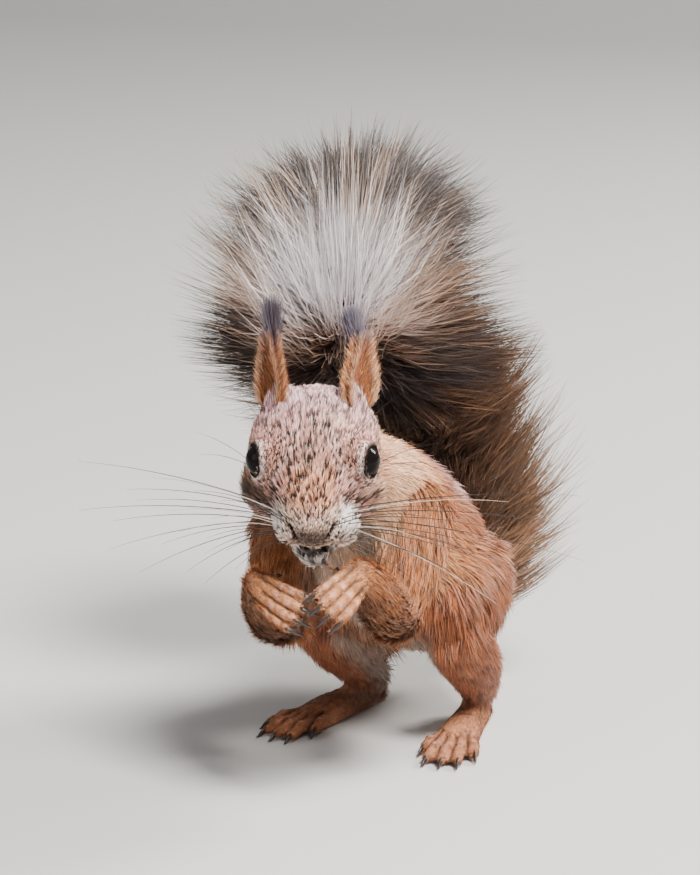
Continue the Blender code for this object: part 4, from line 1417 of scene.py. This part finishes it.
def buildEar(side, sign, look):
    steps, columns, thickness = (earSettings[key] for key in ("steps", "columns", "thickness"))
    forward, sideways, upward = earSettings["root"]
    root = headPoint(forward, sideways * sign, upward)
    lean = unit(np.array(earSettings["lean"]) * (1, sign, 1) @ headAxes)
    facing = np.array(earSettings["facing"]) * (1, sign, 1) @ headAxes
    facing = unit(facing - lean * (facing @ lean))
    across = np.cross(lean, facing)
    height, width, hollow = smoothRows(earSettings["outline"], steps).T[:, :, None, None]
    u = (2 * np.arange(columns) / (columns - 1) - 1)[:, None]
    grid = root + lean * (height * earSettings["length"]) + across * (width * u * 0.92)
    grid = grid - facing * (hollow * (1 - u * u))
    points = np.concatenate([(grid + facing * t).reshape(-1, 3) for t in (thickness, -thickness)])
    n = steps * columns
    faces = []
    for i in range(steps - 1):
        for a in range(i * columns, i * columns + columns - 1):
            faces.append((a, a + 1, a + columns + 1, a + columns))
            faces.append((n + a, n + a + columns, n + a + columns + 1, n + a + 1))
    rim = [i * columns for i in range(steps)] + [n - columns + k for k in range(1, columns)]
    rim += [i * columns + columns - 1 for i in range(steps - 2, -1, -1)] + list(range(columns - 2, 0, -1))
    faces += [(a, a + n, b + n, b) for a, b in zip(rim, rim[1:] + rim[:1])]
    mesh = simpleMesh("ear_" + side, points, faces)
    setTint(mesh, np.concatenate((filled("orange", n, (0.3, 0.3, 0.4)), filled("orange", n, 0.7))))
    addObject("ear_shell_" + side, mesh, look.material, "red_fur")
    growEar(side, sign, grid, lean, facing, across)


# Short hair on both faces of the ear, longer at its edges, and the long dark tuft.
def growEar(side, sign, grid, lean, facing, across):
    pick = np.random.RandomState(500 + sign)
    short, long = earSettings["hairs"], earSettings["tuft"]
    count = short + long
    i = np.concatenate((pick.uniform(0, 20.9, short), pick.uniform(11, 20.9, long)))
    k = pick.uniform(0, 11.99, count)
    fringe, tufted = np.arange(count) < earSettings["fringe"], np.arange(count) >= short
    k = np.where(fringe, np.where(k < 6, k * 0.08, 12 - (12 - k) * 0.08 - 0.01), k)
    a, b = i.astype(int), k.astype(int)
    u, v = (i - a)[:, None], (k - b)[:, None]
    near, far = (grid[a, c] * (1 - u) + grid[a + 1, c] * u for c in (b, b + 1))
    root = near * (1 - v) + far * v
    aside = k / 6.0 - 1
    edge = np.abs(aside)
    outside = (pick.uniform(size=count) < 0.5) | tufted
    normal = np.where(outside[:, None], -facing, facing)
    splay = across[None] * aside[:, None] * np.where(tufted, 0.02, np.where(fringe, 0.75, 0.35))[:, None]
    way = unit(lean[None] + splay + normal * 0.25 + pick.normal(size=(count, 3)) * 0.12)
    length = pick.uniform(1.6, 3.6, count) * (1 + 0.4 * edge**4)
    length = np.where(tufted, pick.uniform(5, 17, count), length)
    # The tuft ends together above the ear's tip.
    above, inwards = earSettings["tuftTop"][side]
    top = grid[-1].mean(0) + lean * above - headLeft * inwards
    gather = unit(top - root + pick.normal(size=(count, 3)) * 2.0)
    way = np.where(tufted[:, None], unit(gather * 0.85 + way * 0.15), way)
    length = np.where(tufted, np.minimum(length, (top - root) @ lean + 2.0), length)[:, None]
    start = root + normal * 0.4
    middle, end = start + way * length * 0.5 + normal * 0.25, start + way * length + normal * 0.2
    height = i / 21
    base = mixed(
        filled("orange", count, 0.85),
        ("red", (pick.uniform(size=count) < 0.55) * 0.75),
        ("litPeach", (edge > 0.86) * (pick.uniform(size=count) < 0.5) * ~tufted * 0.6),
        ("blueGrey", ramp(height + pick.normal(size=count) * 0.14, 0.7, 1.05) * 0.92),
        ("blueGrey", tufted * pick.uniform(0.6, 1.0, count)),
    )
    base = base * (1 + np.clip(pick.normal(size=count), -2, 2.5) * np.where(outside, 0.22, 0.4))[:, None]
    colours = np.stack((base * 0.35, base * 0.85, base * np.where(tufted, 0.85, 1.3)[:, None]), 1)
    flatWay = unit(np.cross(way, normal + pick.normal(size=(count, 3)) * 0.3))
    uv = np.stack((0.05 + k / 12 * 0.4 + np.where(outside, 0.48, 0), 0.05 + height * 0.88), 1)
    widths = np.where(tufted, 0.26, 0.2) * pick.uniform(0.7, 1.2, count)
    lines = np.stack((start, middle, end), 1)
    addCoat("coat_ear_" + side, lines, widths, flatWay, colours, uv, "red_fur", ["ear_" + side])


earLook = Look("ear", 0.65).tinted()
for side, sign in sides.items():
    buildEar(side, sign, earLook)
print("ears", grown)

# claws and whiskers

clawSettings = {
    "lengths": {"finger": 5.4, "thumb": 1.4, "toe": 4.8},
    "sizes": np.array((0.7, 0.85, 0.78, 0.66, 0.5, 0.3, 0.08)),
    "bend": 0.14,
}
whiskerSettings = {
    "darkColour": (0.03, 0.022, 0.018),
    "paleColour": (0.55, 0.48, 0.40),
    "lengths": (24, 38, 52, 62),  # for the columns, from the front
    "rowLengths": (1.0, 1.05, 1.0, 0.9, 0.7),
    "rowRises": (7, -2, -10, -18, -26),
    # Single hairs of the brow and the cheek: root, and how far out and up they reach.
    "others": ((1, 11, 8, 9, 15), (-1, 12, 8, 12, 12), (-6, 19, -6, 17, 6), (-7, 19, -9, 16, 1)),
}


def buildClaws(lengths, sizes, bend):
    shapes = []
    for _, kind, joints, end, axes in digits:
        line, way = [joints[-1] - end * 0.6 + axes.up * 0.35], end
        for _ in range(6):
            line.append(line[-1] + way * lengths[kind] / 5)
            way = unit(way - axes.up * bend)
        line = np.array(line)
        if kind == "toe":
            line[:, 2] = np.maximum(line[:, 2], 0.6)
        shapes.append(tube(line, sizes * 0.75, sizes * 1.15, axes.up, 8))
    look = Look("claw", 0.3, (0.022, 0.016, 0.016), {"Specular IOR Level": 0.5})
    addObject("claws", simpleMesh("claws", *joined(shapes)), look.material, "nose")


def hair(root, tip, sag, thickness, steps=9):
    t = np.linspace(0, 1, steps)[:, None]
    line = root * (1 - t) + tip * t + np.array((0, 0, 1.0)) * (sag * 4 * t * (1 - t))
    sizes = thickness * (1 - 0.8 * t[:, 0] ** 1.6)
    return tube(line, sizes, sizes, (0.02, 0.1, 1), 3)


def buildWhiskers(darkColour, paleColour, lengths, rowLengths, rowRises, others):
    pick = np.random.RandomState(77)
    dark, pale = [], []
    for sign in sides.values():
        # Rows of whiskers on the pad, the longest at the back.
        for row in range(5):
            for column in range(4):
                root = headPoint(18.5 - column * 2.3, (6.6 + column * 0.95) * sign, -8.4 - row * 1.5)
                out = lengths[column] * pick.uniform(0.8, 1.08) * rowLengths[row]
                rise = rowRises[row] * (0.55 + 0.18 * column) * pick.uniform(0.8, 1.2)
                tip = root + np.array((out * sign, 5 + column * 3 + pick.uniform(-3, 3), rise * 0.8))
                store = dark if pick.uniform() < 0.6 else pale
                store.append(hair(root - headLeft * (0.8 * sign), tip, 2.2, 0.17))
        for f, s, t, out, up in others:
            root = headPoint(f, s * sign, t)
            dark.append(hair(root, root + np.array((out * sign, 3.0, up)), 1.0, 0.11, 6))
    darkLook, paleLook = Look("whisker", 0.4, darkColour), Look("pale_whisker", 0.4, paleColour)
    pads = ["whisker_pad_" + side for side in sides]
    addObject("whiskers", simpleMesh("whiskers", *joined(dark)), darkLook.material, "white_fur", pads)
    addObject("whiskers_pale", simpleMesh("whiskers_pale", *joined(pale)), paleLook.material, "white_fur")


buildClaws(**clawSettings)
buildWhiskers(**whiskerSettings)
print("claws and whiskers")

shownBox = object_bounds()
for name, box in (("cad", cadBox), ("shown", shownBox)):
    print(name, [round(v * 1000) for corner in box for v in corner])
